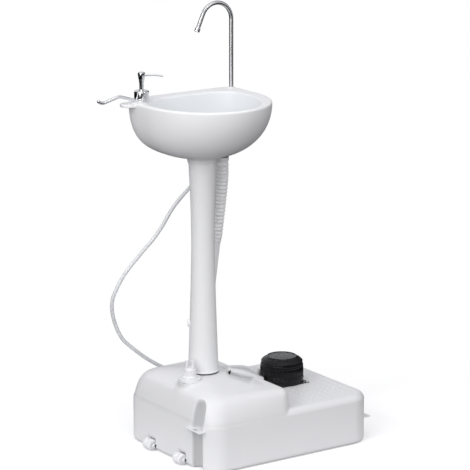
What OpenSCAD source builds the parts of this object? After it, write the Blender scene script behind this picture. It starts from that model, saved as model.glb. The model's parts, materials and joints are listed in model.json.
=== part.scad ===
// Camp wash stand: a water tank with a foot pump, a hollow pedestal and a basin
// with a gooseneck tap, a soap pump, a towel hook and a drain hose.
// The origin is at the middle of the tank's underside, on the floor. X runs along
// the tank to the right, Y to the back and Z up.

/* [Tank base] */
// Length of the tank, left to right
tank_length = 450; // [430:1:470]
// Depth of the tank, front to back
tank_depth = 350; // [335:1:365]
// Radius of the tank's upright corners
tank_corner = 50; // [44:1:56]
// Height of the low deck at the right end
deck_height = 115; // [110:1:122]
// Rounding along the deck's top edge
deck_round = 16; // [10:1:20]
// Rounding along the bottom edge
foot_round = 10; // [6:1:12]
// Wall thickness of the moulded tank
tank_wall = 3; // [2.5:0.5:4]

/* [Dome] */
// Length of the raised dome, from the tank's left end
dome_length = 229; // [222:1:232]
// Height of the dome's shoulder at the left end
dome_shoulder = 173; // [169:1:176]
// Height of the dome's shoulder at the right end
dome_shoulder_right = 165; // [161:1:169]
// Height of the dome's crown under the pedestal
dome_height = 184; // [180:1:188]
// Step of the dome's wall in from the tank's wall
dome_step = 2; // [1:0.5:3]
// Shoulder's reach inwards at the front and back, at the left end
dome_round_side = 58; // [50:1:64]
// Shoulder's reach inwards at the front and back, at the right end
dome_round_side_right = 13; // [9:1:18]
// Shoulder's reach inwards at the left end
dome_round_end = 27; // [23:1:31]
// Shoulder's reach inwards at the right end
dome_round_right = 8; // [5:1:10]
// Radius of the dome's upright corners at the right end
dome_corner_right = 30; // [26:1:34]

/* [Strap channels] */
// Radius of the upright channels in the two ends
channel_radius = 22; // [20:1:23]
// Distance of a channel's axis outside the end wall
channel_out = 7; // [5:1:9]
// Distance of the channels in front of the tank's middle line
channel_offset = 121; // [118:1:124]
// Thickness of the peg tabs across the channels
tab_thickness = 3; // [2.5:0.5:4]
// Reach of the peg tabs past the end wall
tab_reach = 12; // [11:0.5:14]
// Radius of the peg eyes
peg_eye_radius = 6; // [5:0.5:7]
// Height of the tabs at the dome end
tab_height_left = 94; // [88:1:100]
// Height of the tabs at the deck end
tab_height_right = 51; // [46:1:56]

/* [Wheels] */
// Radius of the transport wheels
wheel_radius = 12.5; // [11:0.5:13]
// Width of a wheel
wheel_width = 26; // [22:1:28]
// Distance of the wheels from the tank's middle line
wheel_offset = 62; // [56:1:68]
// Distance of the wheel axis outside the left end
wheel_out = 5; // [3:0.5:7]
// Radius of the wheel pins
wheel_pin_radius = 2.5; // [2:0.25:3]

/* [Filler] */
// Distance of the filler to the left of the pedestal
filler_left = 56; // [55:1:60]
// Distance of the filler in front of the pedestal
filler_front = 30; // [28:1:32]
// Radius of the collar round the filler
filler_ring_radius = 25; // [24:0.5:26]
// Radius of the filler's bore
filler_bore_radius = 17; // [15:0.5:18]
// Height of the stopper's fluted grip
stopper_body_height = 17; // [12:1:20]

/* [Foot pump] */
// Distance of the pump's axis from the tank's right end
pump_from_end = 117; // [112:1:120]
// Distance of the pump's axis behind the middle line
pump_back = 21; // [15:1:27]
// Side of the pump's square foot plate
pump_plate = 96; // [94:1:98]
// Thickness of the foot plate
pump_plate_thickness = 3; // [2.5:0.5:4]
// Outer radius of the pump's ring and bellows
pump_radius = 50.5; // [49:0.5:52]
// Height of the fixed ring above the foot plate
pump_ring_height = 15; // [14:1:18]
// Height of the bellows
bellows_height = 26; // [24:1:30]
// Number of flutes round the bellows
bellows_flutes = 36; // [24:1:48]
// Height of the tread cap
cap_height = 21; // [18:1:24]
// Radius of the cap's tread
cap_tread_radius = 32; // [28:1:36]

/* [Pedestal] */
// Height of the pedestal between dome and basin
pedestal_height = 483; // [460:1:510]
// Distance of the pedestal's axis from the tank's left end
pedestal_from_end = 100; // [98:1:102]
// Radius at the foot
pedestal_foot_radius = 34.5; // [33.5:0.5:36]
// Radius at the waist
pedestal_waist_radius = 26.2; // [25:0.2:27.5]
// Radius at the top
pedestal_top_radius = 32; // [31.5:0.5:33]
// Height of the waist above the dome
pedestal_waist_height = 294; // [270:1:320]
// Wall thickness of the pedestal
pedestal_wall = 2.5; // [2:0.5:3.5]
// Radius of the spigots at both ends
spigot_radius = 30; // [29:0.25:30.5]
// Depth of the socket in the dome
socket_depth = 44; // [36:1:48]

/* [Basin] */
// Height from the basin's neck to its rim
basin_height = 141; // [136:1:148]
// Half the width of the basin
basin_half_width = 148.5; // [145:0.5:152]
// Reach of the basin in front of the pedestal
basin_front = 165; // [161:1:170]
// Reach of the basin behind the pedestal
basin_back = 106; // [104:1:110]
// Wall thickness of the basin
basin_wall = 3; // [2.5:0.5:3.5]
// Radius of the neck
neck_radius = 34; // [33.5:0.5:36]
// Depth of the bowl below the rim
bowl_depth = 92; // [86:1:94]
// Thickness of the soap ledge
ledge_thickness = 7; // [6:0.5:9]
// Radius of the soap ledge's round end
ledge_radius = 19; // [17:1:22]
// Distance of the soap ledge's round end to the left of the pedestal
ledge_left = 155; // [152:1:160]

/* [Drain] */
// Distance of the drain to the right of the pedestal
drain_right = 68; // [64:1:70]
// Distance of the drain behind the pedestal
drain_back = 24; // [20:1:28]
// Radius of the drain's tailpiece
drain_radius = 11; // [10:0.25:11]
// Length of the tailpiece below the basin's boss
tail_length = 20; // [14:1:26]
// Outer radius of the drain hose over its ribs
drain_hose_radius = 15.2; // [14.5:0.1:16]
// Spacing of the drain hose's ribs
rib_pitch = 8.7; // [8:0.1:10]

/* [Tap] */
// Distance of the tap to the right of the pedestal
tap_right = 134; // [131:0.5:135]
// Distance of the tap behind the pedestal
tap_back = 84; // [81:1:85]
// Outer radius of the gooseneck tube
tap_radius = 4.75; // [4.25:0.25:5]
// Wall thickness of the gooseneck tube
tap_wall = 1.1; // [0.8:0.1:1.4]
// Height of the straight stretch above the rim
tap_rise = 157; // [140:1:175]
// Radius of the bend at the tube's centre line
tap_bend = 40; // [34:1:46]
// Angle that the tube bends through
tap_turn = 156; // [140:1:170]
// Length of the outer leg after the bend
tap_leg = 32; // [24:1:40]
// Radius of the aerator collar
aerator_radius = 6.2; // [5.6:0.2:7]

/* [Soap pump] */
// Distance of the soap pump to the left of the pedestal
soap_left = 121; // [120:0.5:122]
// Distance of the soap pump behind the pedestal
soap_back = 60; // [58:1:62]
// Radius of the chrome collar
collar_radius = 16.5; // [15:0.5:18]
// Height of the chrome collar
collar_height = 21.5; // [20:0.5:24]
// Height of the press head above the collar
head_height = 41; // [37:1:45]
// Radius of the press head's top
head_radius = 8; // [7:0.5:9]
// Length of the nozzle from the axis to its tip
nozzle_length = 48; // [42:1:54]
// Radius of the soap bottle
bottle_radius = 14.5; // [13:0.5:15]
// Travel of the soap pump
soap_travel = 12; // [10:1:13]

/* [Towel hook] */
// Radius of the hook's rod
hook_rod_radius = 3.5; // [3:0.25:4]
// Distance of the hook's knee from the soap pump's axis
hook_knee = 58; // [54:1:62]
// Height of the knee above the rim
hook_rise = 16; // [14:1:20]
// Distance of the hook's heel from the soap pump's axis
hook_reach = 103; // [95:1:112]
// Height of the heel above the rim
hook_heel = 4.5; // [4:0.5:8]

/* [Hidden] */
$fn = 64;

slack = 0.3;            // gap between pieces that only stand side by side
run_fit = 0.05;         // radial gap of a running fit
seat_fit = 0.1;         // radial gap of a plugged or screwed fit
past = 1;               // length by which a cut runs past the solid
corner_steps = 5;       // segments in a quarter corner of a moulded ring
round_steps = 4;        // rings in a quarter rounding
basin_sides = 40;       // points round a basin ring

half_length = tank_length / 2;
half_depth = tank_depth / 2;
pedestal_x = pedestal_from_end - half_length;
seam_z = dome_height + pedestal_height;
rim_z = seam_z + basin_height;

// ---- shapes that several pieces share ----

function unit(v) = v / norm(v);
function mix(a, b, t) = a + (b - a) * t;
function bezier(p, t) =
    pow(1 - t, 3) * p[0] + 3 * t * pow(1 - t, 2) * p[1] + 3 * t * t * (1 - t) * p[2] + pow(t, 3) * p[3];

// Rounded rectangle at height z with corner radius ra at the left and rb at the right
function box_ring(x0, x1, y0, y1, ra, rb, z) = [
    for (k = [0:3], i = [0:corner_steps])
        let (
            at_right = k == 0 || k == 3,
            r = at_right ? rb : ra,
            cx = at_right ? x1 - r : x0 + r,
            cy = k < 2 ? y1 - r : y0 + r,
            a = 90 * (k + i / corner_steps)
        )
        [cx + r * cos(a), cy + r * sin(a), z]
];

// Closed solid through rings with equal point counts, capped at both ends, or joined
// end to end when looped
module skin(rings, looped = false) {
    n = len(rings[0]);
    m = len(rings);
    last = looped ? m - 1 : m - 2;
    sides = [
        for (j = [0:last], i = [0:n - 1])
            let (a = j * n + i, b = j * n + (i + 1) % n,
                c = ((j + 1) % m) * n + i, d = ((j + 1) % m) * n + (i + 1) % n)
            each [[a, c, d], [a, d, b]]
    ];
    caps = looped ? [] : [[for (i = [0:n - 1]) i], [for (i = [n - 1:-1:0]) (m - 1) * n + i]];
    polyhedron(points = [for (r = rings) each r], faces = concat(sides, caps), convexity = 8);
}

// Catmull-Rom curve through hand-set points, with a number of steps between two points
function spline_point(p, i, t) =
    let (a = p[max(i - 1, 0)], b = p[i], c = p[i + 1], d = p[min(i + 2, len(p) - 1)])
    b + 0.5 * t * ((c - a) + t * ((2 * a - 5 * b + 4 * c - d) + t * (3 * b - a - 3 * c + d)));
function smooth_route(p, steps) = concat(
    [for (i = [0:len(p) - 2], k = [0:steps - 1]) spline_point(p, i, k / steps)],
    [p[len(p) - 1]]
);
function tangents(q) = [
    for (i = [0:len(q) - 1]) unit(q[min(i + 1, len(q) - 1)] - q[max(i - 1, 0)])
];
// Side directions carried along the tangents without twist
function carried(t, n, i = 0) =
    i == len(t) ? [] : let (s = unit(n - t[i] * (n * t[i]))) concat([s], carried(t, s, i + 1));
function tube_rings(q, radii, sides, first_side) =
    let (t = tangents(q), s = carried(t, first_side))
    [
        for (i = [0:len(q) - 1])
            [for (k = [0:sides - 1]) let (a = 360 * k / sides)
                q[i] + radii[i] * (cos(a) * s[i] + sin(a) * cross(t[i], s[i]))]
    ];
// Steps along a route at even distances, from its start
function travelled(q, i = 0, sum = 0) =
    i == len(q) - 1 ? [sum] : concat([sum], travelled(q, i + 1, sum + norm(q[i + 1] - q[i])));
function at_distance(q, s, d, i = 0) =
    i >= len(q) - 2 || s[i + 1] >= d ? mix(q[i], q[i + 1], (d - s[i]) / (s[i + 1] - s[i]))
        : at_distance(q, s, d, i + 1);

// Children stand on point a and point along the line to b
module along(a, b) {
    v = b - a;
    translate(a) rotate([0, acos(v[2] / norm(v)), atan2(v[1], v[0])]) children();
}

module pipe(outer, inner, height) {
    difference() {
        cylinder(r = outer, h = height);
        translate([0, 0, -past]) cylinder(r = inner, h = height + 2 * past);
    }
}

module hexagon(radius, height) {
    linear_extrude(height) circle(r = radius, $fn = 6);
}

// Coil spring: wire swept along a helix of whole curls, its least gap to itself printed
module coil(radius, wire, z0, z1, curls, x, y) {
    per_curl = 8;
    n = curls * per_curl;
    rise = (z1 - z0 - 2 * wire) / curls;
    q = [
        for (i = [0:n])
            let (a = 360 * i / per_curl)
            [x + radius * cos(a), y + radius * sin(a), z0 + wire + rise * i / per_curl]
    ];
    echo(coil_gap = rise - 2 * wire);
    skin(tube_rings(q, [for (i = [0:n]) wire], 6, [0, 0, 1]));
}

// ---- tank ----

filler_x = pedestal_x - filler_left;
filler_y = -filler_front;
pump_x = half_length - pump_from_end;
pump_y = pump_back;
plate_recess = 2.5;                         // depth of the foot plate's seat in the deck
plate_z = deck_height - plate_recess;
plate_top = plate_z + pump_plate_thickness;
ring_top = plate_top + pump_ring_height;
bellows_top = ring_top + bellows_height;
cap_top = bellows_top + cap_height;
screw_inset = 6;                            // screw axes in from the foot plate's edges
screw_radius = 1.9;
screw_length = 11;
screw_boss_radius = 5;
feed_radius = 6.5;                          // short hose, outside
feed_bore = 4.65;
feed_tank = [-46, 18, 163];                 // where the short hose leaves the tank
feed_height = 9.8;                          // its spigot above the foot plate
feed_pump = [pump_x - pump_radius, pump_y, plate_top + feed_height];
feed_way = unit(feed_pump - feed_tank);
feed_channel_radius = 9;
feed_open_share = 0.82;                     // share of the hose's way that the dome leaves open
scoop_apex = [-46, 18, 154];
scoop_tilt = 44.5;                          // rise of the scoop's axis to the right
scoop_spread = 62;                          // half its cone's angle
scoop_depth = 55;
grommet_radius = 7.5;
flange_radius = pedestal_foot_radius + 1;
flange_height = 4;
flange_seat = 2;                            // depth of the foot's flange in the dome
socket_floor = dome_height - socket_depth;
socket_radius = spigot_radius + seat_fit;
dome_left = dome_step - half_length;
dome_right = dome_length - half_length;
dome_base = deck_height - 25;               // where the dome's wall starts, inside the body
shoulder_angle = 72;                        // the shoulder's arc ends here and the crown begins
filler_pad = dome_height - 8;               // flat seat of the filler's collar
filler_neck_radius = 20.5;
filler_neck_height = 10;
gasket_thickness = 1.2;
wheel_x = -half_length - wheel_out;
ear_thickness = 5;                          // lugs on both sides of a wheel
ear_radius = 6.5;
wheel_z = wheel_radius + 0.2;
pocket_radius = wheel_radius + 2.5;
pocket_width = wheel_width + 4;
pin_depth = 3.5;                            // depth of a wheel pin in a lug
lining = 3;                                 // thickness of the moulded linings
channel_x = half_length + channel_out;
channel_top_left = dome_shoulder - channel_radius;
channel_top_right = deck_height - channel_radius - 12;

function body_ring(w, inset, z) =
    let (e = w + inset, r = tank_corner - e)
    box_ring(e - half_length, half_length - e, e - half_depth, half_depth - e, r, r, z);
function body_rings(w) =
    let (low = foot_round - w / 2, high = deck_round - w / 2)
    concat(
        [for (i = [0:round_steps]) let (a = 90 * i / round_steps)
            body_ring(w, low * (1 - sin(a)), w + low * (1 - cos(a)))],
        [
            for (i = [0:round_steps])
                let (a = 90 * i / round_steps)
                body_ring(w, high * (1 - cos(a)), deck_height - w - high + high * sin(a))
        ]
    );

// The dome's wall rises and turns over on quarter ellipses that are lower at the right
// end, then a crown runs up to the pedestal
function dome_rise(a, x) =
    let (top = mix(dome_shoulder, dome_shoulder_right, (x - dome_left) / (dome_right - dome_left)))
    dome_base + (top - dome_base) * sin(a);
function dome_side(w, a, x) =
    let (reach = mix(dome_round_side, dome_round_side_right, (x - dome_left) / (dome_right - dome_left)))
    w + dome_step + reach * (1 - cos(a));
function dome_ring(w, a) =
    let (
        side = w + dome_step + dome_round_side * (1 - cos(a)),
        left = w + dome_round_end * (1 - cos(a)),
        right = w + dome_round_right * (1 - cos(a)),
        flat = box_ring(
            dome_left + left, dome_right - right, side - half_depth, half_depth - side,
            tank_corner - dome_step - w, dome_corner_right - w - 2 * dome_round_right * (1 - cos(a)), 0
        )
    )
    [
        for (p = flat)
            [
                p[0], p[1] * (half_depth - dome_side(w, a, p[0])) / (half_depth - side),
                dome_rise(a, p[0]) - (a > 0 ? w : 0)
            ]
    ];
// The crown's fall from the pedestal to the shoulder, which comes sooner at the right end
function crown_fall(share, x) =
    let (t = (x - dome_left) / (dome_right - dome_left))
    pow(min(1, share * mix(1, 1.3, t)), mix(2.4, 1.35, t));
function dome_crown(ring, share, w) = [
    for (p = ring)
        [
            mix(pedestal_x, p[0], share), p[1] * share,
            mix(dome_height - w, p[2], crown_fall(share, p[0]))
        ]
];
function dome_rings(w) =
    let (edge = dome_ring(w, shoulder_angle))
    concat(
        [for (i = [0:3]) dome_ring(w, shoulder_angle * i / 4)],
        [edge],
        [for (share = [0.8, 0.55, 0.3]) dome_crown(edge, share, w)]
    );

module tank_outside() {
    skin(body_rings(0));
    skin(dome_rings(0));
}

module tank_inside() {
    skin(body_rings(tank_wall));
    skin(dome_rings(tank_wall));
}

module at_channels() {
    for (end = [-1, 1])
        translate([end * channel_x, -channel_offset, 0])
            mirror([end > 0 ? 1 : 0, 0, 0]) children(end > 0 ? 1 : 0);
}

module channel_bar(radius, top) {
    translate([0, 0, -past]) cylinder(r = radius, h = top + past);
    translate([0, 0, top]) sphere(r = radius);
}

module channels(extra) {
    at_channels() {
        channel_bar(channel_radius + extra, channel_top_left);
        channel_bar(channel_radius + extra, channel_top_right);
    }
}

module peg_tab(height) {
    translate([0, 0, height - tab_thickness / 2]) difference() {
        intersection() {
            cylinder(r = channel_radius + 0.5, h = tab_thickness);
            translate([channel_out - tab_reach, -channel_radius - past, 0])
                cube([3 * channel_radius, 2 * (channel_radius + past), tab_thickness]);
        }
        translate([channel_out - 1, 0, -past]) cylinder(r = peg_eye_radius, h = tab_thickness + 2 * past);
    }
}

module at_wheels() {
    for (side = [-1, 1]) translate([wheel_x, side * wheel_offset, wheel_z]) children();
}

module lying(radius, length) {
    rotate([90, 0, 0]) translate([0, 0, -length / 2]) cylinder(r = radius, h = length);
}

module at_screws() {
    reach = pump_plate / 2 - screw_inset;
    for (i = [-1, 1], k = [-1, 1]) translate([pump_x + i * reach, pump_y + k * reach, plate_z]) children();
}

// Wide hollow in the dome's right side that lays the short hose open: a cone on its side
module scoop(extra) {
    back = extra / sin(scoop_spread);
    translate(scoop_apex) rotate([0, 90 - scoop_tilt, 0]) translate([0, 0, -back])
        cylinder(r1 = 0, r2 = (scoop_depth + back) * tan(scoop_spread), h = scoop_depth + back);
}

// Solid round every socket and pocket, trimmed later to the tank's outside
module linings() {
    translate([pedestal_x, 0, socket_floor - lining])
        cylinder(r = socket_radius + lining, h = socket_depth + lining);
    translate([filler_x, filler_y, filler_pad - 26]) cylinder(r = filler_bore_radius + lining, h = 40);
    channels(lining);
    at_wheels() {
        lying(pocket_radius + lining, pocket_width + 2 * ear_thickness);
        translate([0, -pocket_width / 2 - ear_thickness, -wheel_z])
            cube([pocket_radius + lining, pocket_width + 2 * ear_thickness, wheel_z]);
    }
    at_screws() translate([0, 0, -screw_length - 2]) cylinder(r = screw_boss_radius, h = screw_length + 3);
    translate([pump_x - pump_plate / 2 - lining, pump_y - pump_plate / 2 - lining, plate_z - tank_wall])
        cube([pump_plate + 2 * lining, pump_plate + 2 * lining, tank_wall + plate_recess]);
    along(feed_tank - lining * feed_way, feed_pump) cylinder(r = feed_channel_radius + lining, h = 70);
}

module sockets() {
    translate([pedestal_x, 0, socket_floor]) cylinder(r = socket_radius, h = socket_depth + 20);
    translate([pedestal_x, 0, dome_height - flange_seat]) cylinder(r = flange_radius + slack, h = 20);
    translate([filler_x, filler_y, filler_pad - 30]) cylinder(r = filler_bore_radius, h = 60);
    translate([filler_x, filler_y, filler_pad]) cylinder(r = filler_ring_radius + slack, h = 30);
    channels(0);
    at_wheels() {
        lying(pocket_radius, pocket_width);
        translate([-pocket_radius, -pocket_width / 2, -wheel_z - past])
            cube([2 * pocket_radius, pocket_width, wheel_z + past]);
        lying(wheel_pin_radius + run_fit, pocket_width + 2 * pin_depth);
    }
    at_screws() translate([0, 0, -screw_length])
        cylinder(r = screw_radius + seat_fit, h = screw_length + past);
    translate([pump_x - pump_plate / 2 - slack, pump_y - pump_plate / 2 - slack, plate_z])
        cube([pump_plate + 2 * slack, pump_plate + 2 * slack, 20]);
    along(feed_tank, feed_pump)
        cylinder(r = feed_channel_radius, h = feed_open_share * norm(feed_pump - feed_tank));
    scoop(0);
    along(feed_tank - (lining + slack) * feed_way, feed_pump)
        cylinder(r = grommet_radius + seat_fit, h = 2 * lining);
    translate([pickup_x, pickup_y, pickup_top - 40]) cylinder(r = pickup_radius + slack, h = 40);
    along(pickup_knee, feed_pump) cylinder(r = pickup_radius + slack, h = pickup_inside);
    translate(pickup_knee) sphere(r = pickup_radius + 2 * slack);
}

// Lugs that stand out of the left wall and hold the wheel pins
module wheel_lugs() {
    at_wheels() {
        lying(ear_radius, pocket_width + 2 * ear_thickness);
        translate([0, -pocket_width / 2 - ear_thickness, -ear_radius])
            cube([wheel_out + tank_wall, pocket_width + 2 * ear_thickness, 2 * ear_radius]);
    }
}

module filler_neck() {
    difference() {
        union() {
            translate([0, 0, -22]) cylinder(r = filler_ring_radius, h = 22);
            cylinder(r = filler_neck_radius, h = filler_neck_height);
        }
        translate([0, 0, -40]) cylinder(r = filler_bore_radius, h = 60);
    }
}

module tank_shell() {
    color("gainsboro") {
        difference() {
            union() {
                difference() {
                    tank_outside();
                    difference() {
                        tank_inside();
                        scoop(tank_wall);
                    }
                }
                intersection() {
                    tank_outside();
                    linings();
                }
                wheel_lugs();
                translate([pedestal_x, 0, dome_height - 14])
                    cylinder(r = socket_radius + lining, h = 14 - flange_seat);
            }
            sockets();
        }
        difference() {
            translate([filler_x, filler_y, filler_pad]) filler_neck();
            translate([pedestal_x, 0, socket_floor]) cylinder(r = socket_radius, h = socket_depth + 20);
        }
        at_channels() {
            peg_tab(tab_height_left);
            peg_tab(tab_height_right);
        }
    }
}

// ---- filler ----

ring_z = filler_pad + gasket_thickness;
neck_top = filler_pad + filler_neck_height;
ring_height = filler_neck_height - gasket_thickness;
stopper_flange = 2;

module filler_gasket() {
    color("dimgray") translate([filler_x, filler_y, filler_pad])
        pipe(filler_ring_radius - 0.5, filler_neck_radius + seat_fit, gasket_thickness);
}

module filler_ring() {
    edge = 2;
    inner = filler_neck_radius + seat_fit;
    color("white") translate([filler_x, filler_y, ring_z]) rotate_extrude() polygon([
        [inner, 0], [filler_ring_radius, 0], [filler_ring_radius, ring_height - edge],
        [filler_ring_radius - 0.3 * edge, ring_height - 0.3 * edge],
        [filler_ring_radius - edge, ring_height], [inner, ring_height]
    ]);
}

module filler_stopper() {
    plug = 16;
    body_radius = filler_bore_radius - 2;
    top_radius = body_radius - 4;
    top_height = 5;
    lug = [4.5, 9, 17];
    flutes = 16;
    color("white") translate([filler_x, filler_y, neck_top]) {
        translate([0, 0, -plug]) cylinder(r = filler_bore_radius - slack, h = plug);
        cylinder(r = filler_neck_radius - past, h = stopper_flange);
        difference() {
            cylinder(r = body_radius, h = stopper_flange + stopper_body_height);
            for (i = [0:flutes - 1]) rotate(360 * i / flutes)
                translate([body_radius + 0.6, 0, stopper_flange + 3])
                    cylinder(r = 1.4, h = stopper_body_height);
        }
        translate([0, 0, stopper_flange + stopper_body_height]) {
            cylinder(r = top_radius, h = top_height);
            translate([lug[0] / 2 - top_radius, -lug[1] / 2, 0]) cube(lug);
            translate([top_radius - 1.5 * lug[0], -lug[1] / 2, 0]) cube([lug[0], lug[1], lug[2] - 3]);
        }
    }
}

// ---- wheels ----

module wheel(side) {
    tread = 1.2;
    groove = 3;
    color("white") translate([wheel_x, side * wheel_offset, wheel_z]) rotate([90, 0, 0])
        rotate_extrude() polygon([
        [wheel_pin_radius + run_fit, -wheel_width / 2], [wheel_radius - tread, -wheel_width / 2],
        [wheel_radius, -wheel_width / 2 + tread], [wheel_radius, -groove / 2],
        [wheel_radius - tread, 0], [wheel_radius, groove / 2],
        [wheel_radius, wheel_width / 2 - tread], [wheel_radius - tread, wheel_width / 2],
        [wheel_pin_radius + run_fit, wheel_width / 2]
    ]);
}

module wheel_back() { wheel(1); }

module wheel_front() { wheel(-1); }

module wheel_pins() {
    color("silver") at_wheels() lying(wheel_pin_radius, pocket_width + 2 * pin_depth - 2 * slack);
}

// ---- foot pump ----

ring_wall = 3;
spigot_length = 12;
elbow_angle = 135;
elbow_radius = 8;
elbow_distance = pump_radius + elbow_radius;
elbow_x = pump_x + elbow_distance * cos(elbow_angle);
elbow_y = pump_y + elbow_distance * sin(elbow_angle);
elbow_spigot_z = plate_top + 8;
bellows_wall = 2.5;
flute_depth = 1.2;
spring_radius = 14;
spring_wire = 1.2;
pump_curls = 6;
cap_skirt = 3.5;
cap_ceiling = 2.5;
valve_radius = 9;
valve_thickness = 1;

function flute_outline(radius, depth, count) = [
    for (i = [0:2 * count - 1])
        let (r = i % 2 == 0 ? radius : radius - depth, a = 180 * i / count)
        [r * cos(a), r * sin(a)]
];

module pump_base() {
    corner = 6;
    half = pump_plate / 2;
    color("#222222") {
        difference() {
            translate([pump_x, pump_y, plate_z]) union() {
                for (turned = [0, 90]) rotate(turned)
                    translate([-half, corner - half, 0])
                        cube([pump_plate, pump_plate - 2 * corner, pump_plate_thickness]);
                for (i = [-1, 1], k = [-1, 1]) translate([i * (half - corner), k * (half - corner), 0])
                    cylinder(r = corner, h = pump_plate_thickness);
            }
            at_screws() translate([0, 0, -past]) cylinder(r = screw_radius + seat_fit, h = 20);
        }
        difference() {
            union() {
                translate([pump_x, pump_y, plate_top]) cylinder(r = pump_radius, h = pump_ring_height);
                along(feed_pump - spigot_length * feed_way, feed_pump)
                    cylinder(r = feed_bore - run_fit, h = spigot_length + ring_wall);
                translate([pump_x, pump_y, elbow_spigot_z]) rotate(elbow_angle) rotate([0, 90, 0])
                    cylinder(r = feed_bore - run_fit, h = pump_radius + 5);
            }
            translate([pump_x, pump_y, plate_top]) cylinder(r = pump_radius - ring_wall, h = 30);
        }
    }
}

module pump_bellows() {
    color("#1c1c1c") translate([pump_x, pump_y, ring_top]) difference() {
        linear_extrude(bellows_height) polygon(flute_outline(pump_radius, flute_depth, bellows_flutes));
        translate([0, 0, -past])
            cylinder(r = pump_radius - bellows_wall, h = bellows_height + 2 * past, $fn = 144);
    }
}

module pump_cap() {
    outer = pump_radius - 1.5;
    color("#262626") translate([pump_x, pump_y, bellows_top]) {
        rotate_extrude() polygon([
            [0, cap_height], [cap_tread_radius * 0.55, cap_height - 0.6],
                [cap_tread_radius, cap_height - 2.5],
            [cap_tread_radius + 4, cap_height - 6], [outer - 3, cap_skirt + 3],
                [outer, cap_skirt], [outer, 0],
            [outer - cap_ceiling, 0], [outer - cap_ceiling, cap_skirt], [cap_tread_radius, cap_height - 8],
            [0, cap_height - cap_ceiling - 3]
        ]);
    }
}

module pump_spring() {
    color("silver")
        coil(spring_radius, spring_wire, plate_top + slack, cap_top - cap_ceiling - 3 - 4 * slack,
            pump_curls, pump_x, pump_y);
}

module pump_valves() {
    color("saddlebrown") for (side = [-1, 1])
        translate([pump_x + side * 2.8 * valve_radius, pump_y, plate_top])
            cylinder(r = valve_radius, h = valve_thickness);
}

module pump_screws() {
    head = 2;
    color("silver") at_screws() {
        translate([0, 0, pump_plate_thickness]) cylinder(r = 3.4, h = head);
        translate([0, 0, slack - screw_length])
            cylinder(r = screw_radius, h = screw_length + pump_plate_thickness);
    }
}

// ---- hose from the tank to the pump ----

pickup_start = feed_tank - lining * feed_way;
pickup_inside = 10;         // distance of the pickup tube's knee behind the wall's outside
pickup_knee = feed_tank - pickup_inside * feed_way;
pickup_x = pickup_knee[0];
pickup_y = pickup_knee[1];
pickup_top = pickup_knee[2];
pickup_radius = 3.2;
strainer_height = 14;

module pump_feed_hose() {
    end = feed_pump - 2.5 * feed_way;
    color("white") along(pickup_start, end) pipe(feed_radius, feed_bore, norm(end - pickup_start));
}

module hose_grommet() {
    color("dimgray") {
        along(feed_tank - lining * feed_way, feed_pump)
            pipe(grommet_radius, feed_radius + run_fit, lining + past);
        along(feed_tank, feed_pump) pipe(feed_channel_radius - slack, feed_radius + run_fit, 2);
    }
}

module pickup_tube() {
    plug = 8;
    foot_z = tank_wall + strainer_height;
    color("lightgray") {
        along(pickup_start, feed_pump) cylinder(r = feed_bore - run_fit, h = plug);
        along(pickup_knee, feed_pump) cylinder(r = pickup_radius, h = pickup_inside);
        translate(pickup_knee) sphere(r = pickup_radius + slack);
        translate([pickup_x, pickup_y, foot_z]) cylinder(r = pickup_radius, h = pickup_top - foot_z);
    }
}

module pickup_strainer() {
    slots = 8;
    color("lightgray") translate([pickup_x, pickup_y, tank_wall]) difference() {
        cylinder(r = 10, h = strainer_height);
        for (i = [0:slots - 1]) rotate(360 * i / slots) translate([6, -1, 2])
            cube([6, 2, strainer_height - 5]);
    }
}

module pump_outlet_elbow() {
    hub_top = 18;
    outlet = supply_start - [elbow_x, elbow_y, supply_start[2]];
    color("white") {
        difference() {
            translate([elbow_x, elbow_y, plate_top]) {
                translate([0, 0, 2.6]) cylinder(r = elbow_radius, h = hub_top - 2.6);
                translate([0, 0, hub_top]) sphere(r = elbow_radius);
            }
            translate([pump_x, pump_y, elbow_spigot_z]) rotate(elbow_angle) rotate([0, 90, 0])
                cylinder(r = feed_bore, h = pump_radius + 6);
            translate([pump_x, pump_y, plate_top - past]) cylinder(r = pump_radius + slack, h = 60);
        }
        translate([elbow_x, elbow_y, supply_start[2]]) rotate([0, 90, atan2(outlet[1], outlet[0])])
            cylinder(r = 5.5, h = norm(outlet));
    }
}

// ---- long supply hose ----

supply_radius = 4.3;
supply_sides = 10;
tap_x = pedestal_x + tap_right;
supply_route = [
    [67, 84, plate_top + 17.5], [67, 104, plate_top + 17.5], [62, 130, plate_top + 14.5],
    [48, 155, plate_top + 9.5], [24, 176, plate_top + 5.5], [-8, 189, plate_top + 1.5],
    [-42, 194, 118], [-82, 192, 129], [-123, 186, 150], [-167, 175, 178], [-207, 165, 209],
    [-240, 159, 239], [-262, 153, 276], [-275, 147, 315], [-275, 140, 350], [-253, 130, 398],
    [-215, 120, 444], [-188, 114, 472], [-164, 108, 504], [-139, 101, rim_z - 263],
    [-105, 92, rim_z - 224], [-75, 90, rim_z - 203], [-45, 89, rim_z - 190], [-15, 87, rim_z - 170],
    [tap_x - 5, tap_back + 1, rim_z - 146], [tap_x, tap_back, rim_z - 124], [tap_x, tap_back, rim_z - 106]
];
supply_start = supply_route[0];
supply_end = supply_route[len(supply_route) - 1];

module supply_hose() {
    q = smooth_route(supply_route, 3);
    echo(supply_length = travelled(q)[len(q) - 1], rings = len(q));
    color("whitesmoke") skin(tube_rings(q, [for (p = q) supply_radius], supply_sides, [0, 0, 1]));
}

// ---- pedestal ----

// Radius of the column at height z above the dome, pinched to its waist by two power curves
function column_radius(z) =
    z < pedestal_waist_height
        ? mix(pedestal_waist_radius, pedestal_foot_radius, pow(1 - z / pedestal_waist_height, 1.35))
        : mix(pedestal_waist_radius, pedestal_top_radius,
              pow((z - pedestal_waist_height) / (pedestal_height - pedestal_waist_height), 1.9));

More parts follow.
